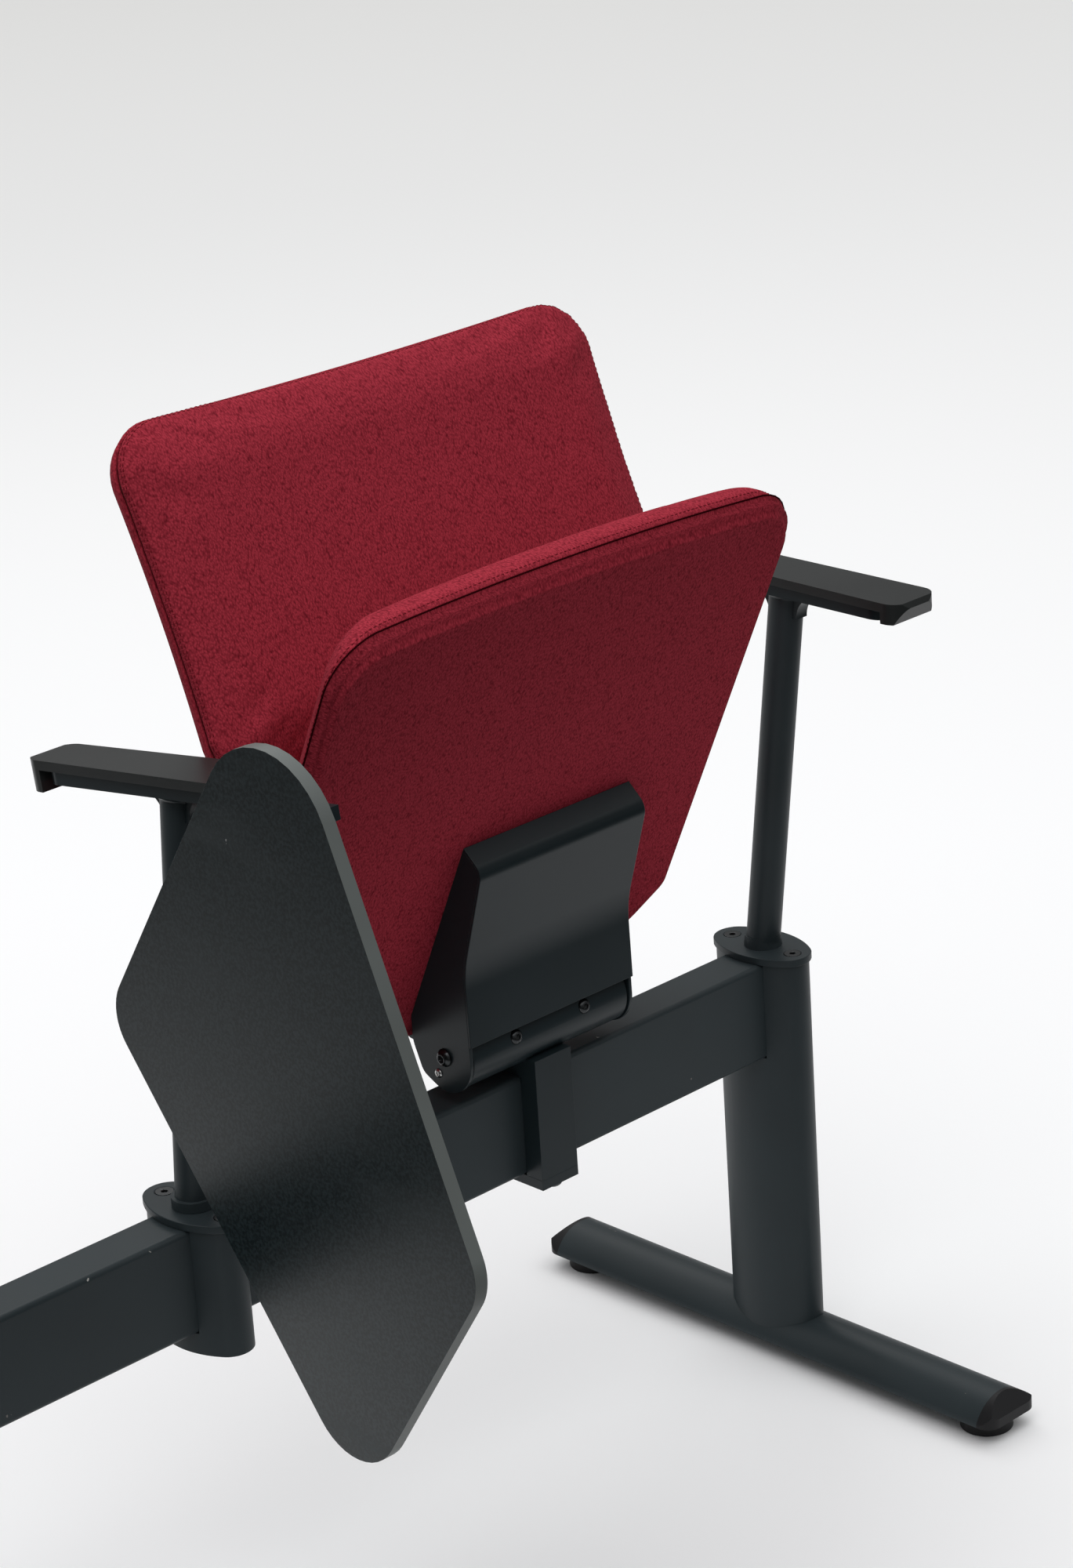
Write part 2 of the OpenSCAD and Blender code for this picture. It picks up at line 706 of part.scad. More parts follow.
module arm_bar(x, lean, pitch, under_z, front) {
  color(black) difference() {
    arm_frame(x, lean, pitch, under_z) union() {
      linear_extrude(arm_bar_t)
        arm_plan(front - pad_lip_l - bar_gap, arm_rear - pad_lip_l - bar_gap, arm_bar_w, arm_bar_w);
      rotate([pitch + lean, 0, 0]) rotate_extrude() difference() {
        translate([0, -fillet_r]) square([post_r + fillet_r, 3 * fillet_r]);
        translate([post_r + fillet_r + post_wall / 2, -fillet_r]) circle(fillet_r);
      }
      for (way = [-1, 1]) along_x(-web_w / 2, web_w) difference() {
        translate([way > 0 ? 0 : -post_r - web_r, -web_r])
          square([post_r + web_r, web_r + arm_bar_t / 2]);
        translate([way * (post_r + web_r), -web_r]) circle(web_r);
      }
    }
    arm_frame(x, lean, pitch, under_z) {
      rotate([pitch + lean, 0, 0]) translate([0, 0, -2 * web_r])
        cylinder(r = post_r + running_fit, h = 2 * web_r + arm_bore + running_fit);
      for (y = [-1, 1]) translate([0, y * arm_screw_reach, -overrun])
        cylinder(r = small_screw_r + screw_fit, h = arm_bar_t + 2 * overrun);
    }
    if (x == 0) block_screw_frame()
      cylinder(r = small_screw_r + running_fit, h = arm_bar_t * 2, center = true);
  }
}

// The pad's side view: bevelled nose, flat top and a lip down over the bar's end
module pad_side(front) {
  polygon([[-front + pad_nose, bar_gap], [-front, pad_h * pad_nose_share], [-front + pad_nose / 3, pad_h],
    [arm_rear - pad_nose / 2, pad_h], [arm_rear, pad_h - pad_nose / 2], [arm_rear, pad_lip_r - pad_lip_h],
    [arm_rear - pad_lip_r, -pad_lip_h], [arm_rear - pad_lip_l, -pad_lip_h],
    [arm_rear - pad_lip_l, pad_side_gap], [-front + pad_lip_l, pad_side_gap], [-front + pad_lip_l, bar_gap]]);
}

module arm_pad(x, lean, pitch, under_z, front) {
  color(dark) arm_frame(x, lean, pitch, under_z) difference() {
    intersection() {
      along_x(-pad_front_w, 2 * pad_front_w) pad_side(front);
      translate([0, 0, -pad_lip_h - overrun]) linear_extrude(pad_h + pad_lip_h + 2 * overrun)
        arm_plan(front, arm_rear, pad_front_w, pad_rear_w);
    }
    translate([0, 0, -pad_lip_h - 2 * overrun])
      linear_extrude(arm_bar_t + pad_lip_h + 2 * overrun + running_fit)
        arm_plan(front - pad_lip_l - bar_gap + running_fit, arm_rear - pad_lip_l - bar_gap + running_fit,
          arm_bar_w + 2 * running_fit, arm_bar_w + 2 * running_fit);
    for (y = [-1, 1]) translate([0, y * arm_screw_reach, 0])
      cylinder(r = small_screw_r + running_fit, h = arm_bar_t + arm_screw_l / 2);
  }
}

module mid_arm_bar()
  arm_bar(0, mid_post_angle, mid_arm_angle, mid_arm_z, mid_arm_front);
module right_arm_bar()
  arm_bar(leg_pitch, right_post_angle, right_arm_angle, right_arm_z, right_arm_front);
module mid_arm_pad()
  arm_pad(0, mid_post_angle, mid_arm_angle, mid_arm_z, mid_arm_front);
module right_arm_pad()
  arm_pad(leg_pitch, right_post_angle, right_arm_angle, right_arm_z, right_arm_front);

module arm_screw_pair() for (y = [-1, 1]) translate([0, y * arm_screw_reach, 0]) rotate([180, 0, 0])
  button_screw(small_screw_r, arm_bar_t + arm_screw_l / 2 - overrun, small_head_r, small_head_h);

module arm_screws() color(steel) {
  arm_frame(0, mid_post_angle, mid_arm_angle, mid_arm_z) arm_screw_pair();
  arm_frame(leg_pitch, right_post_angle, right_arm_angle, right_arm_z) arm_screw_pair();
}

// Clamp over the beam, with the cradle that carries the drum
module clamp_body() {
  color(black) difference() {
    on_part() along_x(clamp_x - clamp_w / 2, clamp_w) difference() {
      union() {
        translate([-clamp_half_d, beam_bottom_z - running_fit])
          square([2 * clamp_half_d, beam_h + saddle_t + running_fit]);
        translate([-clamp_half_d, beam_top_z])
          square([clamp_half_d + back_bar_start - 2 * slide_gap, saddle_t + cradle_h]);
      }
      translate([-notch_half, beam_bottom_z - overrun]) square([2 * notch_half, beam_h + overrun]);
      translate([pivot_y, pivot_z]) circle(drum_r + running_fit);
    }
    clamp_bolt_frame() translate([0, 0, -overrun])
      cylinder(r = screw_r + running_fit, h = clamp_bolt_l + overrun + running_fit);
    on_part() translate([clamp_x, back_bar_bolt_y, beam_bottom_z + beam_h / 2])
      cylinder(r = screw_r + running_fit, h = beam_h);
  }
}

module clamp_bolt_frame() on_part() for (y = [-1, 1])
  translate([clamp_x, y * (notch_half + clamp_wall / 2), beam_bottom_z]) children();

module clamp_bottom_plate() {
  color(black) difference() {
    on_part() translate([clamp_x - clamp_w / 2, -clamp_half_d, beam_bottom_z - running_fit - clamp_plate_t])
      cube([clamp_w, 2 * clamp_half_d, clamp_plate_t]);
    clamp_bolt_frame() translate([0, 0, -2 * clamp_plate_t])
      cylinder(r = screw_r + screw_fit, h = 3 * clamp_plate_t);
  }
}

module clamp_bolts() color(steel) clamp_bolt_frame() translate([0, 0, -running_fit - clamp_plate_t])
  rotate([180, 0, 0]) button_screw(screw_r, clamp_plate_t + clamp_bolt_l - overrun, head_r, head_h);

// Pivot: a fixed drum with bushes, and the shaft that turns with the seat
module drum_screw_frame() on_pivot() for (x = [-1, 1])
  translate([x * drum_screw_x, 0, 0]) rotate([drum_screw_angle - 90, 0, 0]) children();

module pivot_drum() {
  color(dark) difference() {
    on_pivot() about_x() translate([0, 0, -drum_half]) difference() {
      cylinder(r = drum_r, h = 2 * drum_half);
      translate([0, 0, -overrun]) cylinder(r = drum_r - drum_wall, h = 2 * (drum_half + overrun));
    }
    drum_screw_frame() {
      translate([0, 0, drum_spot_r]) cylinder(r = drum_head_r + screw_fit, h = drum_r);
      cylinder(r = small_screw_r + running_fit, h = drum_r);
    }
  }
}

module drum_screws() color(steel) drum_screw_frame() translate([0, 0, drum_spot_r])
  button_screw(small_screw_r, drum_screw_l, drum_head_r, drum_head_h);

module drum_bush(side) mirror([side > 0 ? 0 : 1, 0, 0]) about_x() difference() {
  union() {
    translate([0, 0, drum_half - bush_l]) cylinder(r = drum_r - drum_wall - running_fit, h = bush_l);
    translate([0, 0, drum_half]) cylinder(r = flange_r, h = flange_t);
  }
  translate([0, 0, drum_half - bush_l - overrun])
    cylinder(r = shaft_r + running_fit, h = bush_l + flange_t + 2 * overrun);
  translate([0, 0, drum_half - stop_slot_depth])
    rotate([0, 0, stop_start - seat_tip_angle - stop_slot_margin])
      rotate_extrude(angle = seat_travel + 2 * stop_slot_margin)
        translate([stop_r - stop_pin_r - slide_gap, 0])
          square([2 * (stop_pin_r + slide_gap), stop_slot_depth + overrun]);
}

module drum_bushes() color(dark) on_pivot() for (side = [-1, 1]) drum_bush(side);

module return_spring() color(steel) on_pivot() about_x() difference() {
  translate([0, 0, bush_l - drum_half]) cylinder(r = spring_r + spring_wire, h = 2 * (drum_half - bush_l));
  translate([0, 0, bush_l - drum_half - overrun])
    cylinder(r = spring_r, h = 2 * (drum_half - bush_l + overrun));
}

module torsion_shaft() color(steel) on_pivot() about_x() difference() {
  translate([0, 0, -cheek_in]) cylinder(r = shaft_r, h = 2 * cheek_in);
  for (side = [-1, 1]) translate([0, 0, side * cheek_in - port_depth / 2])
    cylinder(r = screw_r + running_fit, h = port_depth);
}

module pivot_screws() color(steel) on_pivot() for (side = [-1, 1]) rotate([0, side * 90, 0])
  translate([0, 0, bracket_w / 2]) button_screw(screw_r, cheek_t + port_depth / 2 - overrun, head_r, head_h);

module stop_screw_frame() on_pivot() for (side = [-1, 1])
  rotate([stop_start - seat_tip_angle, 0, 0]) translate([side * bracket_w / 2, stop_r, 0])
    rotate([0, side * 90, 0]) children();

module stop_screws() color(steel) stop_screw_frame()
  button_screw(stop_pin_r, cheek_t + slide_gap + flange_t + stop_pin_l, low_head_r, low_head_h);

// Side view of the bracket, in the seat's own frame: y is -v and z is n
function bracket_corner(s) = [-s[0] * bracket_l, s[1] * pivot_drop, s[2] * pivot_drop];
function nose_corners() = [for (s = nose_shares) bracket_corner(s)];

// Angle at which a line from the corner c touches a circle of radius r about the pivot
function touch_angle(c, r) = atan2(c[1], c[0]) + acos(r / norm(place2(c)));

module cheek_side() {
  front = inset_path(nose_corners(), cover_t);
  last = front[2];
  top = [front[0][0], pivot_drop, front[0][2]];
  touch = touch_angle(last, cheek_r);
  heel = [for (s = heel_shares) bracket_corner(s)];
  rounding = [for (i = [0:round_steps]) let (a = touch + (360 - touch) * i / round_steps)
    cheek_r * [cos(a), sin(a)]];
  tangent_in = [rounding[0][0], rounding[0][1], 0];
  heel_rounds = [for (i = [0:2])
    each corner_arc(i == 0 ? rounding[round_steps] : heel[i - 1], heel[i],
      i == 2 ? top : heel[i + 1], arc_steps)];
  polygon(concat(
    [place2(top)],
    corner_arc(top, front[1], front[2], nose_steps),
    corner_arc(front[1], front[2], tangent_in, sweep_steps),
    rounding, heel_rounds));
}

// An open path of corners moved towards the seat by d
function inset_path(path, d) =
  let (n = len(path), touch = touch_angle(path[n - 1], cover_r),
       end = cover_r * [cos(touch), sin(touch)], full = concat(path, [end]))
  [for (i = [0:n - 1])
    let (p = i == 0 ? [full[0][0], full[0][1] + d] : place2(full[i - 1]), c = place2(full[i]),
         q = place2(full[i + 1]), e = unit2(c - p), f = unit2(q - c),
         m = [-e[1], e[0]], k = [-f[1], f[0]], move = (m + k) * d / (1 + m * k))
    [c[0] + (i == 0 ? d : move[0]), c[1] + (i == 0 ? 0 : move[1]),
      path[i][2] + (i == 2 ? d : -d * inner_bend_share)]];

module cheek_hole_cuts() {
  on_pivot() about_x() translate([0, 0, -bracket_w]) cylinder(r = screw_r + running_fit, h = 2 * bracket_w);
  stop_screw_frame() translate([0, 0, -2 * cheek_t]) cylinder(r = stop_pin_r + running_fit, h = 4 * cheek_t);
}

module cheek(side) {
  color(dark) difference() {
    on_seat() along_x(side > 0 ? cheek_in : -bracket_w / 2, cheek_t) cheek_side();
    cheek_hole_cuts();
  }
}

module bracket_cover() {
  outer = nose_corners();
  inner = inset_path(outer, cover_t);
  touch_out = touch_angle(outer[2], cover_r);
  touch_in = touch_angle(inner[2], cheek_r);
  tangent_out = cover_r * [cos(touch_out), sin(touch_out)];
  tangent_in = cheek_r * [cos(touch_in), sin(touch_in)];
  back_off = cover_edge_share * bracket_l;
  end_out = tangent_out + unit2(place2(outer[2]) - tangent_out) * back_off;
  end_in = tangent_in + unit2(place2(inner[2]) - tangent_in) * back_off;
  color(black) on_seat() along_x(-bracket_w / 2, bracket_w) polygon(concat(
    [place2(outer[0])],
    corner_arc(outer[0], outer[1], outer[2], nose_steps),
    corner_arc(outer[1], outer[2], tangent_out, sweep_steps),
    [end_out, end_in],
    reversed(corner_arc(inner[1], inner[2], tangent_in, sweep_steps)),
    reversed(corner_arc(inner[0], inner[1], inner[2], nose_steps)),
    [place2(inner[0])]));
}

function reversed(list) = [for (i = [len(list) - 1:-1:0]) list[i]];

module seat_screw_places() for (x = [-1, 1], y = seat_screw_row_shares)
  translate([x * seat_screw_reach_share * cheek_in, -y * bracket_l, 0]) children();

module seat_base_plate() {
  y0 = -plate_end_share * bracket_l;
  color(black) on_seat() difference() {
    translate([-cheek_in, y0, pivot_drop - base_plate_t])
      cube([2 * cheek_in, (plate_end_share - plate_start_share) * bracket_l, base_plate_t]);
    seat_screw_places() translate([0, 0, pivot_drop - 2 * base_plate_t])
      cylinder(r = small_screw_r + screw_fit, h = 3 * base_plate_t);
  }
}

module seat_screws() color(steel) on_seat() seat_screw_places()
  translate([0, 0, pivot_drop - base_plate_t]) rotate([180, 0, 0])
    button_screw(small_screw_r, seat_screw_l, small_head_r, small_head_h);

// Outline of the seat's underside, x across and -y forward, centred on the seat
seat_corners = [
  [seat_rear_half_share * seat_flat_half, seat_rear, seat_rear_r],
  [-seat_rear_half_share * seat_flat_half, seat_rear, seat_rear_r],
  [-seat_taper_half_share * seat_flat_half, seat_rear - seat_taper_l / 2, seat_taper_r],
  [-seat_flat_half, seat_rear - seat_taper_l, seat_side_r],
  [-seat_flat_half, -seat_front, seat_front_r],
  [seat_flat_half, -seat_front, seat_front_r],
  [seat_flat_half, seat_rear - seat_taper_l, seat_side_r],
  [seat_taper_half_share * seat_flat_half, seat_rear - seat_taper_l / 2, seat_taper_r]];
seat_rim = [for (c = inset(seat_corners, -seat_side_bevel))
  [c[0], c[1] < -seat_front ? c[1] + seat_side_bevel - seat_bevel : c[1], c[2]]];
seat_bows = [0, 0, 0, seat_side_draw, seat_front_bow, seat_side_draw, 0, 0];
seat_middle = [0, (seat_rear - seat_front) / 2];

module on_seat_pad() on_seat() translate([-bracket_shift, 0, pivot_drop]) children();

module seat_underside() {
  color(wine) difference() {
    on_seat_pad() tray(seat_corners, seat_rim, seat_bows, seat_middle, seat_shell_t, wrap_t);
    on_seat() seat_screw_places() cylinder(r = small_screw_r + screw_fit, h = pivot_drop + 2 * wrap_t);
  }
}

module seat_pan() {
  color(ply) difference() {
    on_seat_pad() translate([0, 0, wrap_t]) linear_extrude(seat_shell_t - wrap_t)
      polygon(ring(inset(seat_corners, wrap_t + slide_gap), seat_bows));
    on_seat() seat_screw_places()
      cylinder(r = small_screw_r + running_fit, h = pivot_drop + seat_screw_l - base_plate_t + running_fit);
  }
}

module seat_cushion() color(wine) on_seat_pad() translate([0, 0, seat_shell_t])
  cushion(seat_rim, seat_bows, seat_middle, seat_cushion_t, seat_cushion_t, seat_profile_shares,
    crown_shares, seat_draw_share);

// Outline of the backrest seen from the front, x across and y up the slope from its top edge
back_half = back_w / 2;
back_corners = [[-back_half, -back_h, back_low_r], [back_half, -back_h, back_low_r],
  [back_half, 0, back_top_r], [-back_half, 0, back_top_r]];
back_bows = [back_side_draw, back_side_draw, back_side_draw, back_side_draw];
back_middle = [0, -back_h / 2];
back_wrap_inset = 2;

// Heights in this frame are measured forward from the seam behind the cushion
module on_back_seam() on_back() translate([0, back_cushion_t, 0]) rotate([90, 0, 0]) children();

module back_cushion() color(wine) on_back_seam()
  cushion(back_corners, back_bows, back_middle, back_shoulder, back_cushion_t, back_profile_shares,
    crown_shares, 0);

module back_rear_cover() {
  color(wine) difference() {
    on_back_seam() mirror([0, 0, 1]) translate([0, 0, back_shell_t]) mirror([0, 0, 1])
      tray(inset(back_corners, 3 * back_wrap_inset), inset(back_corners, back_wrap_inset), back_bows,
        back_middle, back_shell_t, wrap_t);
    back_screw_frame() translate([0, 0, -back_shell_t])
      cylinder(r = small_screw_r + screw_fit, h = 2 * back_shell_t);
  }
}

module back_board() {
  color(ply) difference() {
    on_back_seam() translate([0, 0, wrap_t - back_shell_t]) linear_extrude(back_shell_t - wrap_t)
      polygon(ring(inset(back_corners, 3 * back_wrap_inset + wrap_t + slide_gap), back_bows));
    back_screw_frame() translate([0, 0, -back_shell_t - running_fit])
      cylinder(r = small_screw_r + running_fit, h = back_shell_t);
  }
}

// Steel plate on the rear of the back, and the bar that it hangs on
plate_low = back_plate_up - back_h / 2;
module on_back_rear() on_back() translate([bracket_shift, back_t, plate_low]) children();

module back_screw_frame() on_back_rear() for (x = [-1, 1], z = [-1, 1])
  translate([x * (back_plate_w / 2 - back_screw_inset), back_plate_t,
    z * (back_plate_h / 2 - back_screw_inset)]) rotate([-90, 0, 0]) children();

module back_screws() color(steel) back_screw_frame()
  button_screw(small_screw_r, back_shell_t, small_head_r, small_head_h);

module back_plate() {
  color(black) difference() {
    on_back_rear() translate([-back_plate_w / 2, 0, -back_plate_h / 2])
      cube([back_plate_w, back_plate_t, back_plate_h]);
    back_screw_frame() translate([0, 0, -back_shell_t])
      cylinder(r = small_screw_r + screw_fit, h = 2 * back_shell_t);
    back_bar_screw_frame() translate([0, 0, -back_shell_t])
      cylinder(r = small_screw_r + running_fit, h = back_shell_t + overrun);
  }
}

// The bar's centre line in y and z: over the clamp, back, up and along the backrest
bar_mid_z = beam_top_z + saddle_t + back_bar_t / 2;
bar_off = back_t + back_plate_t + back_bar_t / 2 + running_fit;
function back_point(up) = [
  back_top_y + bar_off * cos(back_angle) + up * sin(back_angle),
  back_top_z - bar_off * sin(back_angle) + up * cos(back_angle)];
bar_path = [[back_bar_start, bar_mid_z, 0], [back_bar_y, bar_mid_z, back_bend_r],
  concat(back_point(plate_low - back_plate_h / 2 - back_bend_r), [2 * back_bend_r]),
  concat(back_point(plate_low + back_plate_h / 2 - back_screw_inset), [0])];

module back_bar_side() {
  half = back_bar_t / 2;
  bends = [for (i = [1:2]) each corner_arc(bar_path[i - 1], bar_path[i], bar_path[i + 1], bend_steps)];
  middle = concat([place2(bar_path[0])], bends, [place2(bar_path[3])]);
  n = len(middle);
  normals = [for (i = [0:n - 1])
    let (a = middle[max(i - 1, 0)], b = middle[min(i + 1, n - 1)], t = unit2(b - a)) [-t[1], t[0]]];
  polygon(concat([for (i = [0:n - 1]) middle[i] + half * normals[i]],
    [for (i = [n - 1:-1:0]) middle[i] - half * normals[i]]));
}

module back_bar_screw_frame() {
  for (z = [-1, 1]) on_back_rear()
    translate([0, back_plate_t + back_bar_t + running_fit, z * (back_plate_h / 2 - 3 * back_screw_inset)])
      rotate([-90, 0, 0]) children();
}

module back_bar() {
  color(black) difference() {
    on_part() along_x(clamp_x - back_bar_w / 2, back_bar_w) back_bar_side();
    back_bar_screw_frame() translate([0, 0, -2 * back_bar_t])
      cylinder(r = small_screw_r + screw_fit, h = 3 * back_bar_t);
    on_part() translate([clamp_x, back_bar_bolt_y, bar_mid_z - back_bar_t])
      cylinder(r = screw_r + screw_fit, h = 2 * back_bar_t);
  }
}

module back_bar_screws() color(steel) {
  back_bar_screw_frame() button_screw(small_screw_r, back_bar_t + back_plate_t, small_head_r, small_head_h);
  on_part() translate([clamp_x, back_bar_bolt_y, bar_mid_z + back_bar_t / 2])
    button_screw(screw_r, port_depth / 2 + back_bar_t, head_r, head_h);
}

// Writing tablet: one inclined pin brings it from hanging down to flat in front
axis_turn = atan2(hinge_axis[1], hinge_axis[0]);
axis_tilt = acos(hinge_axis[2] / norm(hinge_axis));
module on_hinge() on_part() translate([hinge_x, hinge_y, hinge_z]) children();
module about_hinge() on_hinge() rotate([0, axis_tilt, axis_turn]) children();
module on_tablet() on_part() translate([-tablet_x, tablet_y, tablet_z]) children();

module tablet_hinge_block() {
  color(black) difference() {
    union() {
      about_hinge() translate([0, 0, -block_half]) cylinder(r = block_r, h = 2 * block_half);
      arm_frame(0, mid_post_angle, mid_arm_angle, mid_arm_z)
        translate([-tongue_w / 2, -tongue_front, -tongue_t])
          cube([tongue_w, tongue_l, tongue_t]);
    }
    block_screw_frame() translate([0, 0, -tongue_t - overrun])
      cylinder(r = small_screw_r + screw_fit, h = tongue_t + 2 * overrun);
    about_hinge() translate([0, 0, -2 * block_half])
      cylinder(r = hinge_bush_r + running_fit, h = 4 * block_half);
  }
}

module block_screw_frame() arm_frame(0, mid_post_angle, mid_arm_angle, mid_arm_z)
  for (s = block_screw_shares) translate([0, tongue_l * (1 - s) - tongue_front, 0]) children();

module hinge_block_screws() color(steel) block_screw_frame() translate([0, 0, -tongue_t]) rotate([180, 0, 0])
  button_screw(small_screw_r, tongue_t + arm_screw_l / 2 + small_screw_r, small_head_r, small_head_h);

module hinge_bushes() color(steel) about_hinge() for (side = [-1, 1]) translate([0, 0, side * block_half / 2])
  difference() {
    cylinder(r = hinge_bush_r, h = block_half * bush_share, center = true);
    cylinder(r = pin_r + running_fit, h = 2 * block_half, center = true);
  }

module hinge_pin() color(steel) about_hinge() {
  translate([0, 0, -block_half - slide_gap]) cylinder(r = pin_r, h = 3 * block_half);
  translate([0, 0, -block_half - slide_gap - small_head_h]) cylinder(r = pin_head_r, h = small_head_h);
}

// Where the hinge's line meets the tablet's inner face, and the plate's middle beside it
face_reach = (tablet_x + hinge_x) / -hinge_axis[0];
carrier_y = hinge_y - tablet_y + face_reach * hinge_axis[1] - carrier_off_share * carrier_plate_r;
carrier_z = hinge_z - tablet_z + face_reach * hinge_axis[2] - carrier_off_share * carrier_plate_r;

module carrier_reach_cut() on_tablet() translate([-tablet_l, -tablet_l, -tablet_l])
  cube([tablet_l, 2 * tablet_l, 2 * tablet_l]);

module tablet_carrier() {
  color(black) difference() {
    union() {
      about_hinge() translate([0, 0, block_half + slide_gap]) cylinder(r = carrier_r, h = 3 * block_half);
      on_tablet() rotate([0, 90, 0]) translate([-carrier_z, carrier_y, 0])
        cylinder(r = carrier_plate_r, h = carrier_plate_t);
    }
    carrier_reach_cut();
    about_hinge() cylinder(r = pin_r + running_fit, h = 2 * block_half);
    tablet_screw_frame() translate([0, 0, -overrun])
      cylinder(r = small_screw_r + screw_fit, h = carrier_plate_t + 2 * overrun);
  }
}

module tablet_screw_frame() on_tablet() for (a = carrier_screw_angles)
  translate([0, carrier_y + carrier_screw_share * carrier_plate_r * cos(a),
    carrier_z + carrier_screw_share * carrier_plate_r * sin(a)]) rotate([0, 90, 0]) children();

module tablet_screws() color(steel) tablet_screw_frame() translate([0, 0, carrier_plate_t])
  button_screw(small_screw_r, carrier_plate_t + tablet_screw_l, low_head_r, small_head_h);

module tablet_top() {
  color(board) difference() {
    on_tablet() along_x(-tablet_t, tablet_t)
      disc_hull([for (s = tablet_disc_shares) s * tablet_l]);
    tablet_screw_frame() translate([0, 0, -tablet_screw_l - running_fit])
      cylinder(r = small_screw_r + running_fit, h = 2 * tablet_screw_l);
  }
}

module left_column() column(-1);
module right_column() column(1);
module left_cap_plate() cap_plate(-leg_pitch);
module mid_cap_plate() cap_plate(0);
module right_cap_plate() cap_plate(leg_pitch);
module left_foot() foot(-1);
module right_foot() foot(1);
module left_cheek() cheek(-1);
module right_cheek() cheek(1);

beam();
left_column();
right_column();
mid_housing();
housing_base();
base_screws();
left_cap_plate();
mid_cap_plate();
right_cap_plate();
cap_screws();
left_foot();
right_foot();
foot_end_caps();
foot_screws();
glides();
mid_post();
right_post();
mid_arm_bar();
right_arm_bar();
mid_arm_pad();
right_arm_pad();
arm_screws();
clamp_body();
clamp_bottom_plate();
clamp_bolts();
pivot_drum();
drum_screws();
drum_bushes();
return_spring();
torsion_shaft();
pivot_screws();
stop_screws();
left_cheek();
right_cheek();
bracket_cover();
seat_base_plate();
seat_pan();
seat_underside();
seat_cushion();
seat_screws();
back_bar();
back_bar_screws();
back_plate();
back_board();
back_rear_cover();
back_cushion();
back_screws();
tablet_hinge_block();
hinge_block_screws();
hinge_bushes();
hinge_pin();
tablet_carrier();
tablet_screws();
tablet_top();
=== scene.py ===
# %% [markdown]
# # A beam seat: one tip-up seat on a two-bay beam
# The real object is a steel beam on oval legs that carries a fold-up upholstered seat, a fixed
# back, two arms and a hanging writing tablet. Its engineering model is already built, so this
# lesson only dresses it: every piece is set on the model's own pieces and moves with its bodies.

# %% The frame
import json
import math

import bmesh
import bpy
import numpy as np
from mathutils import Matrix, Vector

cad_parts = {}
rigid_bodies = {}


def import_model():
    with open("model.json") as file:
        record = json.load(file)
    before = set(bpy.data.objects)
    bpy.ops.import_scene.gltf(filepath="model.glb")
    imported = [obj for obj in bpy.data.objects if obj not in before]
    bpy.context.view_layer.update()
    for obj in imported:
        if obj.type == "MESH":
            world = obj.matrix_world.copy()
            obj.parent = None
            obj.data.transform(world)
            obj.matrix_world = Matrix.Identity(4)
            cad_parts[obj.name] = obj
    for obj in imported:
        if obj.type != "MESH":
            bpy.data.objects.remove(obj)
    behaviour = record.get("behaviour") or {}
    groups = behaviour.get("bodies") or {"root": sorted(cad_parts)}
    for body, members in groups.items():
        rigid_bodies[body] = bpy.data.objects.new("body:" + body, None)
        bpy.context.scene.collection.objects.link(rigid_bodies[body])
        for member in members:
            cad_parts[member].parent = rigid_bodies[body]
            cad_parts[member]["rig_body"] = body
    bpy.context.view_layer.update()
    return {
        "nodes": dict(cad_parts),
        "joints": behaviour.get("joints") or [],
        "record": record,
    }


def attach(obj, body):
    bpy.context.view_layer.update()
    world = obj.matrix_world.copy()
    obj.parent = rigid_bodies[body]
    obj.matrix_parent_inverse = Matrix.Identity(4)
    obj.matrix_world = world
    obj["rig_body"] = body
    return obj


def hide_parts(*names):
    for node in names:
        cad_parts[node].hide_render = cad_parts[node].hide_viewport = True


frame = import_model()
nodes = frame["nodes"]
MM = 0.001
pivot = Vector(next(j["pos_m"] for j in frame["joints"] if j["name"] == "seat_tip"))

# %% [markdown]
# ## The camera
# The picture was taken from the front left and a little above, with a long lens that hardly
# narrows the far leg. The camera is built from its compass angle, its downward angle and a
# slight roll, because those three numbers are what a photographer would change.

# %% Camera
CAMERA_PLACE = Vector((-1.5626, -1.992008, 1.600))
COMPASS, DOWNWARD, ROLL = (math.radians(a) for a in (43.0587, 20.4581, -3.7315))
LENS, FILM = 93.87, 36


def aim(compass, downward, roll):
    """The turn of a camera from its compass angle, its downward angle and its roll."""
    ahead = Vector((math.sin(compass) * math.cos(downward), math.cos(compass) * math.cos(downward),
                    -math.sin(downward)))
    level = Vector((math.cos(compass), -math.sin(compass), 0))
    up = level.cross(ahead)
    right = math.cos(roll) * level + math.sin(roll) * up
    top = math.cos(roll) * up - math.sin(roll) * level
    return Matrix((right, top, -ahead)).transposed().to_4x4()


camera = bpy.data.objects.new("camera", bpy.data.cameras.new("camera"))
bpy.context.scene.collection.objects.link(camera)
camera.matrix_world = Matrix.Translation(CAMERA_PLACE) @ aim(COMPASS, DOWNWARD, ROLL)
camera.data.sensor_fit = "VERTICAL"
camera.data.sensor_height = FILM
camera.data.lens = LENS
bpy.context.scene.camera = camera
bpy.context.scene.view_settings.view_transform = "Standard"
print("camera", tuple(CAMERA_PLACE), "lens", LENS)

# %% [markdown]
# ## Light and floor
# A catalogue picture is lit by a large soft box overhead and stands on a pale seamless paper.
# The sky here is bright above and dim at the sides, so black paint keeps its depth. A big soft
# box at the upper left and a weaker one behind on the right lay the soft shadow.

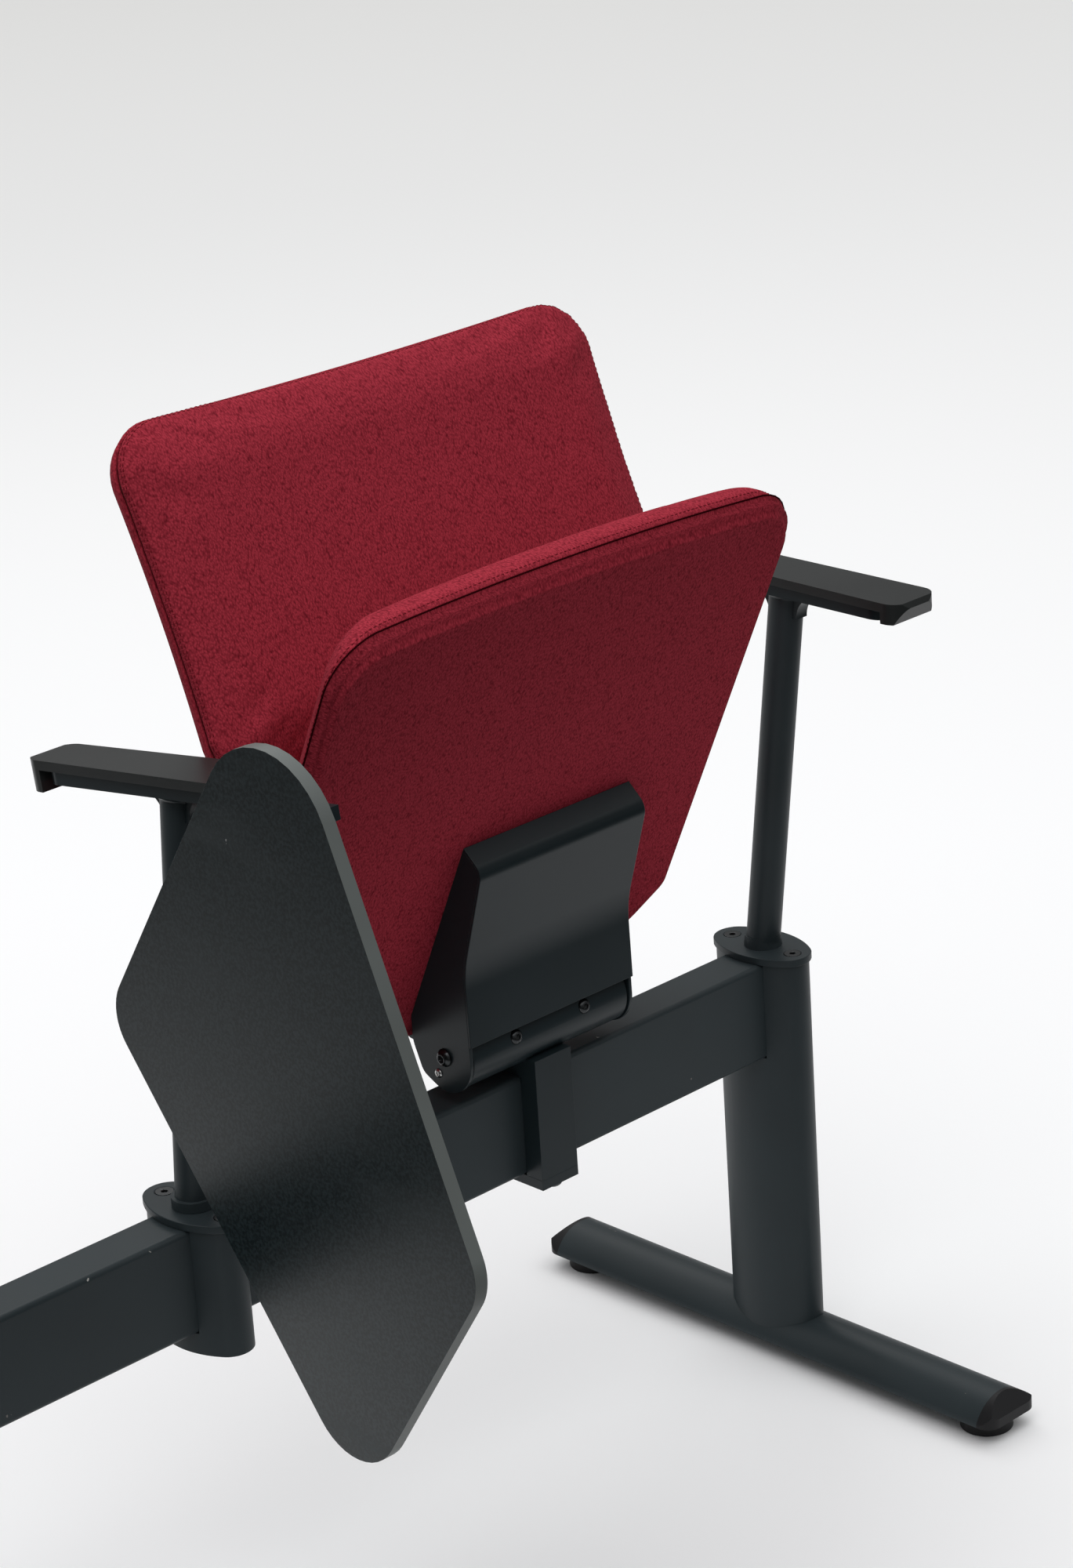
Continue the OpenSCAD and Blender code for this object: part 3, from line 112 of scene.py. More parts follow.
# %% Nodes made short
def put(tree, kind, values=None, **settings):
    """A node in a tree, with some of its inputs set or linked."""
    node = tree.nodes.new(kind)
    for name, value in settings.items():
        setattr(node, name, value)
    for name, value in (values or {}).items():
        if isinstance(value, bpy.types.NodeSocket):
            tree.links.new(value, node.inputs[name])
        else:
            node.inputs[name].default_value = value
    return node


def ramp(tree, value, low, high, start=0.0, end=1.0):
    """A value mapped from low..high to start..end, held at both ends."""
    return put(tree, "ShaderNodeMapRange", {"Value": value, "From Min": low, "From Max": high,
                                            "To Min": start, "To Max": end}).outputs["Result"]


def math_node(tree, operation, a, b=0.0):
    """The result of one sum on two values or sockets."""
    return put(tree, "ShaderNodeMath", {0: a, 1: b}, operation=operation).outputs[0]


def mix_colour(tree, factor, a, b):
    """A mix of two colours, each a socket or three numbers."""
    node = put(tree, "ShaderNodeMix", {"Factor": factor}, data_type="RGBA")
    sides = [s for s in node.inputs if s.type == "RGBA"]
    for socket, value in zip(sides, (a, b)):
        if isinstance(value, bpy.types.NodeSocket):
            tree.links.new(value, socket)
        else:
            socket.default_value = (*value, 1)
    return next(s for s in node.outputs if s.type == "RGBA")


# %% World and lamps
SKY_SIDE, SKY_TOP = 0.21, 1.44
SIDE_ENDS, TOP_STARTS = 0.40, 0.88


def make_sky():
    """A grey sky that brightens from its sides to its top."""
    world = bpy.data.worlds.new("soft studio")
    world.use_nodes = True
    tree = world.node_tree
    tree.nodes.clear()
    direction = put(tree, "ShaderNodeTexCoord").outputs["Generated"]
    height = put(tree, "ShaderNodeSeparateXYZ", {"Vector": direction}).outputs["Z"]
    strength = ramp(tree, height, SIDE_ENDS, TOP_STARTS, SKY_SIDE, SKY_TOP)
    sky = put(tree, "ShaderNodeBackground", {"Color": (1, 1, 1, 1), "Strength": strength})
    put(tree, "ShaderNodeOutputWorld", {"Surface": sky.outputs["Background"]})
    bpy.context.scene.world = world


def soft_box(name, place, target, size, power):
    """A rectangular lamp at a place, aimed at a target, with its two sides and its watts."""
    lamp = bpy.data.lights.new(name, "AREA")
    lamp.shape, lamp.size, lamp.size_y = "RECTANGLE", size[0], size[1]
    lamp.energy = power
    box = bpy.data.objects.new(name, lamp)
    bpy.context.scene.collection.objects.link(box)
    box.location = place
    box.rotation_mode = "QUATERNION"
    box.rotation_quaternion = (Vector(target) - Vector(place)).to_track_quat("-Z", "Y")
    return box


make_sky()
soft_box("soft_box_key", (-1.3, -1.1, 3.4), (0, 0, 0.4), (2.2, 1.6), 17)
soft_box("soft_box_rear", (1.8, 2.4, 2.6), (0.2, 0, 0.5), (1.8, 1.2), 9)

# %% [markdown]
# The paper is painted greyer far behind the object: painted shade that stands for lamp light
# falling off with distance. In front and on the left, where the camera doesn't see it, it is
# dark, so that less light comes up under the tipped seat.

# %% Paper floor
PAPER_SPAN = 30
# The far paper colour is painted shade, for lamp light that falls off with distance.
PAPER_NEAR, PAPER_FAR_SHADE, PAPER_DARK = (0.95, 0.955, 0.965), (0.78, 0.78, 0.77), (0.05, 0.05, 0.05)
AHEAD, GREY_STARTS, GREY_ENDS = (0.68, 0.73, 0), 1.5, 7.5
LIT_FROM_LEFT, LIT_FROM_FRONT = (-1.10, -0.40), (-0.80, -0.42)


def make_floor():
    """A wide sheet of paper on the ground, staged round the object."""
    material = bpy.data.materials.new("seamless_paper")
    material.use_nodes = True
    tree = material.node_tree
    tree.nodes.clear()
    place = put(tree, "ShaderNodeTexCoord").outputs["Object"]
    away = put(tree, "ShaderNodeVectorMath", {0: place, 1: AHEAD}, operation="DOT_PRODUCT")
    # painted shade: the paper's colour greys with distance, standing for lamp light that falls off
    far = ramp(tree, away.outputs["Value"], GREY_STARTS, GREY_ENDS)
    axes = put(tree, "ShaderNodeSeparateXYZ", {"Vector": place}).outputs
    lit = math_node(tree, "MULTIPLY", ramp(tree, axes["X"], *LIT_FROM_LEFT),
                    ramp(tree, axes["Y"], *LIT_FROM_FRONT))
    paper = mix_colour(tree, far, PAPER_NEAR, PAPER_FAR_SHADE)
    colour = mix_colour(tree, lit, PAPER_DARK, paper)
    paint = put(tree, "ShaderNodeBsdfDiffuse", {"Color": colour})
    put(tree, "ShaderNodeOutputMaterial", {"Surface": paint.outputs["BSDF"]})
    mesh = bpy.data.meshes.new("paper_floor")
    s = PAPER_SPAN / 2
    mesh.from_pydata([(-s, -s, 0), (s, -s, 0), (s, s, 0), (-s, s, 0)], [], [(0, 1, 2, 3)])
    mesh.materials.append(material)
    floor = bpy.data.objects.new("paper_floor", mesh)
    bpy.context.scene.collection.objects.link(floor)
    return floor


floor = make_floor()
print("floor", PAPER_SPAN, "m wide")

# %% [markdown]
# ## Effects that several finishes share
# Powder coat, cast paint and moulded plastic all have a fine grain, and all chip or scuff a
# little. Each effect is one node group with its own sizes, so every finish sets it differently.
# Three small pale spots on the beam's top have places of their own, in metres: two knocks at its left
# end and one spot beside the drum.

# %% Groups
MARKS = [(-0.0562, 0.0362, 0.3420), (-0.1101, 0.0364, 0.3420), (0.3832, 0.0417, 0.3440)]


def new_group(name, inputs, outputs):
    """An empty shader group with named float inputs and outputs."""
    group = bpy.data.node_groups.new(name, "ShaderNodeTree")
    for label, value in inputs.items():
        kind = "NodeSocketVector" if value is None else "NodeSocketFloat"
        socket = group.interface.new_socket(name=label, in_out="INPUT", socket_type=kind)
        if value is not None:
            socket.default_value = value
    for label in outputs:
        group.interface.new_socket(name=label, in_out="OUTPUT", socket_type="NodeSocketFloat")
    return group, put(group, "NodeGroupInput").outputs


def fine_grain():
    """Height and shade of a fine even grain, as on powder coat and moulded plastic."""
    tree, given = new_group("fine grain", {"Vector": None, "Scale": 900.0}, ["Height", "Shade"])
    fine = put(tree, "ShaderNodeTexNoise", {"Vector": given["Vector"], "Scale": given["Scale"],
                                            "Detail": 2.0, "Roughness": 0.6})
    broad = put(tree, "ShaderNodeTexNoise", {"Vector": given["Vector"], "Scale": 9.0, "Detail": 2.0})
    put(tree, "NodeGroupOutput", {"Height": fine.outputs[0],
                                  "Shade": ramp(tree, broad.outputs[0], 0.3, 0.7)})
    return tree


def small_chips():
    """A mask of a few small knocks where the finish is chipped."""
    tree, given = new_group("small chips", {"Vector": None, "Scale": 160.0, "Amount": 0.5}, ["Mask"])
    spots = put(tree, "ShaderNodeTexNoise", {"Vector": given["Vector"], "Scale": given["Scale"],
                                             "Detail": 3.0})
    areas = put(tree, "ShaderNodeTexNoise", {"Vector": given["Vector"], "Scale": 14.0, "Detail": 1.0})
    total = math_node(tree, "ADD", spots.outputs[0], areas.outputs[0])
    edge = math_node(tree, "SUBTRACT", 1.52, math_node(tree, "MULTIPLY", given["Amount"], 0.16))
    mask = math_node(tree, "GREATER_THAN", total, edge)
    put(tree, "NodeGroupOutput", {"Mask": mask})
    return tree


def named_marks():
    """A mask of a few small pale spots at named places on the beam, in metres."""
    tree, given = new_group("named marks", {"Vector": None, "Size": 0.0007}, ["Mask"])
    nearest = 1.0
    for spot in MARKS:
        apart = put(tree, "ShaderNodeVectorMath", {0: given["Vector"], 1: spot}, operation="DISTANCE")
        nearest = math_node(tree, "MINIMUM", apart.outputs["Value"], nearest)
    rough = put(tree, "ShaderNodeTexNoise", {"Vector": given["Vector"], "Scale": 700.0})
    torn = math_node(tree, "MULTIPLY", rough.outputs[0], 0.004)
    mask = math_node(tree, "LESS_THAN", math_node(tree, "ADD", nearest, torn),
                     math_node(tree, "ADD", given["Size"], 0.002))
    put(tree, "NodeGroupOutput", {"Mask": mask})
    return tree


def crepe_weave():
    """Height and shade of a wool crepe: short crossed threads with a lively surface; the shade is partly
    a random fuzz and partly painted shade, lower in the hollows between threads.
    """
    tree, given = new_group("crepe weave", {"Vector": None, "Scale": 920.0}, ["Height", "Shade"])
    warp = put(tree, "ShaderNodeTexNoise", {"Vector": given["Vector"], "Scale": 60.0, "Detail": 2.0})
    bent = put(tree, "ShaderNodeVectorMath", {0: warp.outputs["Color"], 1: (0.004, 0.004, 0.004)},
               operation="MULTIPLY")
    place = put(tree, "ShaderNodeVectorMath", {0: given["Vector"], 1: bent.outputs[0]}, operation="ADD")
    turned = put(tree, "ShaderNodeMapping", {"Vector": place.outputs[0],
                                             "Rotation": (0, 0, math.radians(38)),
                                             "Scale": (1.0, 0.55, 1.0)})
    threads = put(tree, "ShaderNodeTexVoronoi", {"Vector": turned.outputs[0], "Scale": given["Scale"],
                                                 "Randomness": 0.8}, feature="SMOOTH_F1")
    fuzz = put(tree, "ShaderNodeTexNoise", {"Vector": given["Vector"], "Scale": 2200.0, "Detail": 2.0})
    tops = ramp(tree, threads.outputs["Distance"], 0.15, 0.85, 1.0, 0.0)
    height = math_node(tree, "ADD", tops, math_node(tree, "MULTIPLY", fuzz.outputs[0], 0.5))
    put(tree, "NodeGroupOutput", {"Height": height, "Shade": ramp(tree, height, 0.25, 1.25)})
    return tree


def soft_scuffs():
    """A mask of faint rubbed streaks and clouds, as on a used board."""
    tree, given = new_group("soft scuffs", {"Vector": None, "Scale": 30.0}, ["Mask"])
    stretched = put(tree, "ShaderNodeMapping", {"Vector": given["Vector"], "Scale": (1, 0.2, 1.4),
                                                "Rotation": (math.radians(25), 0, 0)})
    streaks = put(tree, "ShaderNodeTexNoise", {"Vector": stretched.outputs[0], "Scale": given["Scale"],
                                               "Detail": 8.0, "Roughness": 0.7})
    clouds = put(tree, "ShaderNodeTexNoise", {"Vector": given["Vector"], "Scale": 7.0, "Detail": 3.0})
    mixed = math_node(tree, "MULTIPLY", ramp(tree, streaks.outputs[0], 0.45, 0.75),
                      ramp(tree, clouds.outputs[0], 0.35, 0.7))
    put(tree, "NodeGroupOutput", {"Mask": mixed})
    return tree


GRAIN, CHIPS, SPOTS = fine_grain(), small_chips(), named_marks()
WEAVE, SCUFFS = crepe_weave(), soft_scuffs()
print("groups:", GRAIN.name, CHIPS.name, WEAVE.name, SCUFFS.name)

# %% [markdown]
# ## Finishes
# The steel is powder coated in an anthracite black, the small castings and bent sheets are a
# smoother satin black, and the seat is a wine-red wool. Real photographs show black paint as
# a dark grey with soft highlights, so its colour is low and its gloss is kept wide.

# %% Finishes
# The pale spots' colour shows bare steel at the two knocks and a plain pale spot beside the drum.
PALE_SPOT_COLOUR, PALE_SPECK = (0.42, 0.41, 0.39), (0.3, 0.3, 0.3)


def blank(name, colour, roughness, **sockets):
    """A material with a Principled shader, its tree, its shader and its object coordinates."""
    material = bpy.data.materials.new(name)
    material.use_nodes = True
    tree = material.node_tree
    shader = next(n for n in tree.nodes if n.type == "BSDF_PRINCIPLED")
    shader.inputs["Base Color"].default_value = (*colour, 1)
    shader.inputs["Roughness"].default_value = roughness
    for label, value in sockets.items():
        shader.inputs[label.replace("_", " ")].default_value = value
    material.diffuse_color = (*colour, 1)
    return material, tree, shader


def bump(tree, shader, height, distance, strength=1.0):
    """A bump on a shader from a height, with its depth in metres."""
    node = put(tree, "ShaderNodeBump", {"Height": height, "Distance": distance, "Strength": strength})
    tree.links.new(node.outputs["Normal"], shader.inputs["Normal"])


def coated(name, colour, worn, roughness, grain, depth, chips):
    """A paint or plastic: fine grain, uneven gloss and a few chips that show a paler colour."""
    material, tree, shader = blank(name, colour, roughness, Specular_IOR_Level=0.2)
    place = put(tree, "ShaderNodeTexCoord").outputs["Object"]
    texture = put(tree, "ShaderNodeGroup", {}, node_tree=GRAIN)
    tree.links.new(place, texture.inputs["Vector"])
    texture.inputs["Scale"].default_value = grain
    knocks = put(tree, "ShaderNodeGroup", {}, node_tree=CHIPS)
    tree.links.new(place, knocks.inputs["Vector"])
    knocks.inputs["Amount"].default_value = chips
    spots = put(tree, "ShaderNodeGroup", {}, node_tree=SPOTS)
    tree.links.new(place, spots.inputs["Vector"])
    tint = mix_colour(tree, texture.outputs["Shade"], colour, tuple(c * 1.25 for c in colour))
    chipped = mix_colour(tree, knocks.outputs["Mask"], tint, worn)
    tree.links.new(mix_colour(tree, spots.outputs["Mask"], chipped, PALE_SPOT_COLOUR),
                   shader.inputs["Base Color"])
    tree.links.new(ramp(tree, texture.outputs["Shade"], 0, 1, roughness * 0.92, roughness * 1.1),
                   shader.inputs["Roughness"])
    bump(tree, shader, texture.outputs["Height"], depth)
    return material


FINISH = {
    "frame_coat": coated("anthracite_powder_coat", (0.0225, 0.0305, 0.0340), (0.16, 0.15, 0.14), 0.44,
                         1100, 0.00006, 0.6),
    "cast_coat": coated("satin_black_paint", (0.0115, 0.0180, 0.0208), (0.10, 0.10, 0.10), 0.30,
                        1400, 0.00003, 0.4),
    "pad_plastic": coated("moulded_arm_plastic", (0.0175, 0.0195, 0.0195), (0.08, 0.08, 0.08), 0.33,
                          1500, 0.00004, 0.3),
    "foot_plastic": coated("foot_plastic", (0.010, 0.010, 0.011), (0.07, 0.07, 0.07), 0.48,
                           1200, 0.00004, 0.4),
    "bearing_plastic": coated("bearing_plastic", (0.03, 0.03, 0.032), (0.1, 0.1, 0.1), 0.5,
                              1200, 0.00003, 0.0),
    "black_screws": blank("black_oxide_screws", (0.045, 0.048, 0.050), 0.26, Metallic=0.9)[0],
    "bright_steel": blank("bright_steel", (0.56, 0.56, 0.55), 0.28, Metallic=1.0)[0],
}


def wool(name, colour, thread, hollow_shade):
    """Wine-red wool: the weave follows the cloth's own UV map; thread tops take the thread colour, and
    the hollows between threads a painted shade.
    """
    material, tree, shader = blank(name, colour, 0.9, Sheen_Weight=0.015, Sheen_Roughness=0.5)
    shader.inputs["Sheen Tint"].default_value = (1.0, 0.55, 0.6, 1)
    shader.inputs["Specular IOR Level"].default_value = 0.03
    place = put(tree, "ShaderNodeUVMap", uv_map="cloth").outputs["UV"]
    weave = put(tree, "ShaderNodeGroup", {}, node_tree=WEAVE)
    tree.links.new(place, weave.inputs["Vector"])
    # painted shade in the weave's hollows, mixed with the thread colour by the weave's height
    tree.links.new(mix_colour(tree, weave.outputs["Shade"], hollow_shade, thread), shader.inputs["Base Color"])
    bump(tree, shader, weave.outputs["Height"], 0.00025, 0.9)
    return material


def laminate(name, colour, rubbed):
    """A dark board's face: a fine mottle and cloudy scuffs, which are rougher and paler."""
    material, tree, shader = blank(name, colour, 0.34)
    place = put(tree, "ShaderNodeTexCoord").outputs["Object"]
    scuffs = put(tree, "ShaderNodeGroup", {}, node_tree=SCUFFS)
    tree.links.new(place, scuffs.inputs["Vector"])
    texture = put(tree, "ShaderNodeGroup", {}, node_tree=GRAIN)
    tree.links.new(place, texture.inputs["Vector"])
    texture.inputs["Scale"].default_value = 420
    knocks = put(tree, "ShaderNodeGroup", {}, node_tree=CHIPS)
    tree.links.new(place, knocks.inputs["Vector"])
    knocks.inputs["Amount"].default_value = 0.0
    flecks = ramp(tree, texture.outputs["Height"], 0.40, 0.60, 0.0, 0.8)
    total = math_node(tree, "MAXIMUM", scuffs.outputs["Mask"], flecks)
    cloudy = mix_colour(tree, total, colour, rubbed)
    tree.links.new(mix_colour(tree, knocks.outputs["Mask"], cloudy, PALE_SPECK),
                   shader.inputs["Base Color"])
    tree.links.new(ramp(tree, scuffs.outputs["Mask"], 0, 1, 0.30, 0.46), shader.inputs["Roughness"])
    bump(tree, shader, texture.outputs["Height"], 0.00004)
    return material


def plywood(name):
    """Bare plywood with its long grain along x, for the hidden boards."""
    material, tree, shader = blank(name, (0.50, 0.33, 0.17), 0.6)
    place = put(tree, "ShaderNodeTexCoord").outputs["Object"]
    stretched = put(tree, "ShaderNodeMapping", {"Vector": place, "Scale": (1, 12, 12)})
    lines = put(tree, "ShaderNodeTexNoise", {"Vector": stretched.outputs[0], "Scale": 14.0,
                                             "Detail": 5.0})
    tree.links.new(mix_colour(tree, lines.outputs[0], (0.36, 0.22, 0.10), (0.62, 0.44, 0.25)),
                   shader.inputs["Base Color"])
    return material


# The third colour is painted shade for the hollows of the weave; the second is the thread's own colour.
FINISH["seat_fabric"] = wool("wine_wool", (0.27, 0.022, 0.038), (0.450, 0.041, 0.064),
                             (0.110, 0.005, 0.011))
FINISH["tablet_laminate"] = laminate("dark_laminate", (0.0020, 0.0058, 0.0068), (0.017, 0.0275, 0.0300))
FINISH["plywood"] = plywood("bent_plywood")
TABLET_EDGE = coated("rubbed_board_edge", (0.112, 0.124, 0.120), (0.2, 0.2, 0.2), 0.42, 1000,
                     0.00004, 0.5)
THREAD = blank("wine_thread", (0.16, 0.009, 0.016), 0.8, Specular_IOR_Level=0.05)[0]
# The seam's dark line is painted shade: a near-black wine cord laid in the groove where the cushion
# meets the pan.
SEAM_SHADE = blank("seam_painted_shade", (0.035, 0.002, 0.004), 0.95, Specular_IOR_Level=0.0)[0]
print("finishes:", len(FINISH) + 2)

# %% [markdown]
# ## Pressed, cut and cast pieces
# The model's flat-sided pieces have knife edges, and real steel never does. Each visible piece
# is a copy of its node with the coplanar triangles joined again and a small round on every
# sharp edge, which is what catches the light along the beam and the cheeks.

# %% Dressing a node
def copy_of(node, flat=math.radians(0.6)):
    """A clean copy of a node's mesh: corners merged and flat faces joined."""
    mesh = nodes[node].data.copy()
    shape = bmesh.new()
    shape.from_mesh(mesh)
    bmesh.ops.remove_doubles(shape, verts=shape.verts, dist=2e-6)
    bmesh.ops.dissolve_limit(shape, angle_limit=flat, verts=shape.verts, edges=shape.edges)
    for face in shape.faces:
        face.smooth = True
        face.material_index = 0
    shape.to_mesh(mesh)
    shape.free()
    mesh.materials.clear()
    return mesh


def settle(obj):
    """The object's modifiers applied to its mesh."""
    bpy.context.view_layer.update()
    evaluated = obj.evaluated_get(bpy.context.evaluated_depsgraph_get())
    made = bpy.data.meshes.new_from_object(evaluated)
    obj.modifiers.clear()
    obj.data = made
    return obj


def own(obj, material, slot, body, *replaced):
    """Gives a finished piece its finish and its body, and hides the nodes that it stands for; its slot
    is not used.
    """
    if not obj.data.materials:
        obj.data.materials.append(material)
    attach(obj, body)
    if replaced:
        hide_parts(*replaced)
    return obj


def new_object(name, mesh):
    """A linked object that holds a mesh."""
    obj = bpy.data.objects.new(name, mesh)
    bpy.context.scene.collection.objects.link(obj)
    return obj


def rounded(name, mesh, edge, segments=2, sharp=math.radians(32), clamp=True):
    """An object with every sharp edge rounded by the given radius."""
    obj = new_object(name, mesh)
    cut = obj.modifiers.new("edges", "BEVEL")
    cut.width, cut.segments, cut.limit_method, cut.angle_limit = edge, segments, "ANGLE", sharp
    cut.use_clamp_overlap = clamp
    cut.miter_outer = "MITER_ARC"
    even = obj.modifiers.new("shade", "WEIGHTED_NORMAL")
    even.keep_sharp = True
    return settle(obj)


SLOT_OF = {s["node"]: s["material_slot"] for s in frame["record"]["subparts"]}
EDGE = {
    "beam": 0.5, "left_column": 0.6, "right_column": 0.6, "mid_housing": 0.6, "housing_base": 0.4,
    "left_cap_plate": 0.9, "mid_cap_plate": 0.9, "right_cap_plate": 0.9, "left_foot": 0.8,
    "right_foot": 0.8, "foot_end_caps": 1.0, "glides": 1.2, "mid_post": 0.4, "right_post": 0.4,
    "mid_arm_bar": 0.8, "right_arm_bar": 0.8, "clamp_body": 0.9, "clamp_bottom_plate": 0.9,
    "pivot_drum": 0.6, "left_cheek": 0.6, "right_cheek": 0.6, "bracket_cover": 0.5,
    "seat_base_plate": 0.5, "back_bar": 0.8, "back_plate": 0.6, "tablet_hinge_block": 1.0,
    "tablet_carrier": 0.8, "hinge_pin": 0.5, "torsion_shaft": 0.5, "cap_screws": 0.6,
    "mid_arm_pad": 2.2, "right_arm_pad": 2.2,
}
TABLET_ROUND = 1.4
HIDDEN = ["drum_bushes", "hinge_bushes", "return_spring", "seat_pan", "back_board"]


def dress(node, edge):
    """A node's own shape with rounded edges, in the finish of its slot."""
    obj = rounded(node + "_piece", copy_of(node), edge * MM)
    return own(obj, FINISH[SLOT_OF[node]], SLOT_OF[node], nodes[node]["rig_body"], node)


def dress_tablet():
    """The board: laminate on its two faces and a rubbed paler core round its edge."""
    mesh = copy_of("tablet_top")
    for material in (FINISH["tablet_laminate"], TABLET_EDGE):
        mesh.materials.append(material)
    for face in mesh.polygons:
        face.material_index = 0 if abs(face.normal.x) > 0.5 else 1
    board = rounded("tablet_top_piece", mesh, TABLET_ROUND * MM, segments=3)
    return own(board, None, SLOT_OF["tablet_top"], nodes["tablet_top"]["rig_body"], "tablet_top")


dressed = [dress(node, edge) for node, edge in EDGE.items()] + [dress_tablet()]
for node in HIDDEN:
    nodes[node].data.materials.clear()
    nodes[node].data.materials.append(FINISH[SLOT_OF[node]])
print("dressed", len(dressed), "pieces,", sum(len(o.data.polygons) for o in dressed), "faces")

# %% [markdown]
# ## Upholstery
# A pad is an outline with rounded corners and a profile up its side. The model uses few points
# on each ring, so the same outline is drawn again here with many, then remeshed evenly and
# blown up a little as cloth that is sewn down along its seam, as foam does under a cover.

# %% Outlines and lofts
def corner_arc(before, corner, after, steps):
    """Points of the arc that rounds the corner (x, y, radius) between its neighbours."""
    p, c, q = (Vector(v[:2]) for v in (before, corner, after))
    a, b = (p - c).normalized(), (q - c).normalized()
    half = math.acos(a.dot(b)) / 2
    middle = c + (a + b).normalized() * corner[2] / math.sin(half)
    first, last = (c + side * corner[2] / math.tan(half) - middle for side in (a, b))
    start = math.atan2(first.y, first.x)
    turn = (math.atan2(last.y, last.x) - start + 3 * math.pi) % (2 * math.pi) - math.pi
    angles = [start + turn * i / steps for i in range(steps + 1)]
    return [middle + corner[2] * Vector((math.cos(t), math.sin(t))) for t in angles]


def inset(corners, distance):
    """An outline moved inwards, with its radii to match."""
    moved = []
    for i, (x, y, radius) in enumerate(corners):
        p, q = corners[i - 1], corners[(i + 1) % len(corners)]
        e, f = Vector((x - p[0], y - p[1])).normalized(), Vector((q[0] - x, q[1] - y)).normalized()
        m, k = Vector((-e.y, e.x)), Vector((-f.y, f.x))
        step = (m + k) * distance / (1 + m.dot(k))
        moved.append((x + step.x, y + step.y, max(radius - distance, radius / 5)))
    return moved


def ring(corners, bows, height, arc_steps=9, side_steps=14):
    """One closed row of points at a height: rounded corners joined by bowed sides."""
    count = len(corners)
    arcs = [corner_arc(corners[i - 1], corners[i], corners[(i + 1) % count], arc_steps)
            for i in range(count)]
    points = []
    for i, arc in enumerate(arcs):
        start, end = arc[-1], arcs[(i + 1) % count][0]
        along = (end - start).normalized()
        inward = Vector((-along.y, along.x))
        points += arc
        for j in range(1, side_steps):
            u = j / side_steps
            points.append(start.lerp(end, u) + inward * 4 * u * (1 - u) * bows[i])
    return [Vector((p.x, p.y, height)) for p in points]


def drawn_to(points, centre, share, height):
    """A row of points drawn towards a centre by a share, at a new height."""
    x, y = centre
    return [Vector((x + (p.x - x) * share, y + (p.y - y) * share, height)) for p in points]


def loft(name, rows, place, centre):
    """A closed mesh through rows of points in mm, with a fan to the centre at both ends."""
    count, points = len(rows[0]), [p for row in rows for p in row]
    faces = [(k * count + i, k * count + (i + 1) % count, (k + 1) * count + (i + 1) % count,
              (k + 1) * count + i) for k in range(len(rows) - 1) for i in range(count)]
    for row in (0, len(rows) - 1):
        faces += [(row * count + i, row * count + (i + 1) % count, len(points)) for i in range(count)]
        points.append(Vector((*centre, rows[row][0].z)))
    mesh = bpy.data.meshes.new(name)
    mesh.from_pydata([place @ (p * MM) for p in points], [], faces)
    shape = bmesh.new()
    shape.from_mesh(mesh)
    bmesh.ops.recalc_face_normals(shape, faces=shape.faces)
    for face in shape.faces:
        face.smooth = True
    shape.to_mesh(mesh)
    shape.free()
    return mesh


# %% [markdown]
# The cloth's own map is its position in the pad's frame, in metres, taken from above on the
# top and from the side on the walls, so the weave has one size everywhere.

# %% Cloth map and padding
VOXEL, PUFF, PUFF_CAP, CLOTH_FRAMES = 4.0, 3.0, 2.0, 20
FACES_UP, WALL_MAP_SHIFT = 0.55, 0.7


def cloth_map(mesh, place):
    """The cloth's own map: from above where a face looks up, and from the side on the walls."""
    layer = (mesh.uv_layers.get("cloth") or mesh.uv_layers.new(name="cloth")).data
    flat = place.inverted()
    turn = flat.to_3x3()
    spots = [flat @ v.co for v in mesh.vertices]
    for face in mesh.polygons:
        way = turn @ face.normal
        side = 0 if abs(way.x) > abs(way.y) else 1
        for loop in face.loop_indices:
            p = spots[mesh.loops[loop].vertex_index]
            from_side = (p[1 - side], p.z + WALL_MAP_SHIFT)
            layer[loop].uv = (p.x, p.y) if abs(way.z) > FACES_UP else from_side


def padded_out(obj, place, sewn_below):
    """The pad blown up as cloth that is held below a height in mm, by at most the cap."""
    even = obj.modifiers.new("even", "REMESH")
    even.mode, even.voxel_size, even.use_smooth_shade = "VOXEL", VOXEL * MM, True
    settle(obj)
    flat = place.inverted()
    rest = [v.co.copy() for v in obj.data.vertices]
    sewn = obj.vertex_groups.new(name="sewn")
    sewn.add([i for i, p in enumerate(rest) if (flat @ p).z < sewn_below * MM], 1.0, "REPLACE")
    cloth = obj.modifiers.new("cloth", "CLOTH")
    cloth.settings.use_pressure = True
    cloth.settings.uniform_pressure_force = PUFF
    cloth.settings.vertex_group_mass = "sewn"
    cloth.settings.effector_weights.gravity = 0
    for step in range(1, CLOTH_FRAMES + 1):
        bpy.context.scene.frame_set(step)
    settle(obj)
    bpy.context.scene.frame_set(1)
    for vertex, was in zip(obj.data.vertices, rest):
        move = vertex.co - was
        vertex.co = was + move * min(1, PUFF_CAP * MM / max(move.length, 1e-9))
    soft = obj.modifiers.new("soft", "SMOOTH")
    soft.factor, soft.iterations = 0.5, 6
    fine = obj.modifiers.new("fine", "SUBSURF")
    fine.levels = fine.render_levels = 1
    return settle(obj)


def pad_piece(node, rows, place, centre, sewn_below=None):
    """A pad that stands for its node: lofted, padded out, mapped, and given its finish and body."""
    obj = new_object(node + "_piece", loft(node, rows, place, centre))
    if sewn_below:
        padded_out(obj, place, sewn_below)
    cloth_map(obj.data, place)
    own(obj, FINISH["seat_fabric"], SLOT_OF[node], nodes[node]["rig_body"], node)
    return obj


# %% [markdown]
# ### The seat
# All sizes are in mm, in the seat's own frame: x across, y to the rear and z from its underside
# to the sitter. The underside is a wrapped pan with a wide bevel along its front. The rim is the
# line of the seam, where the pan meets the cushion.

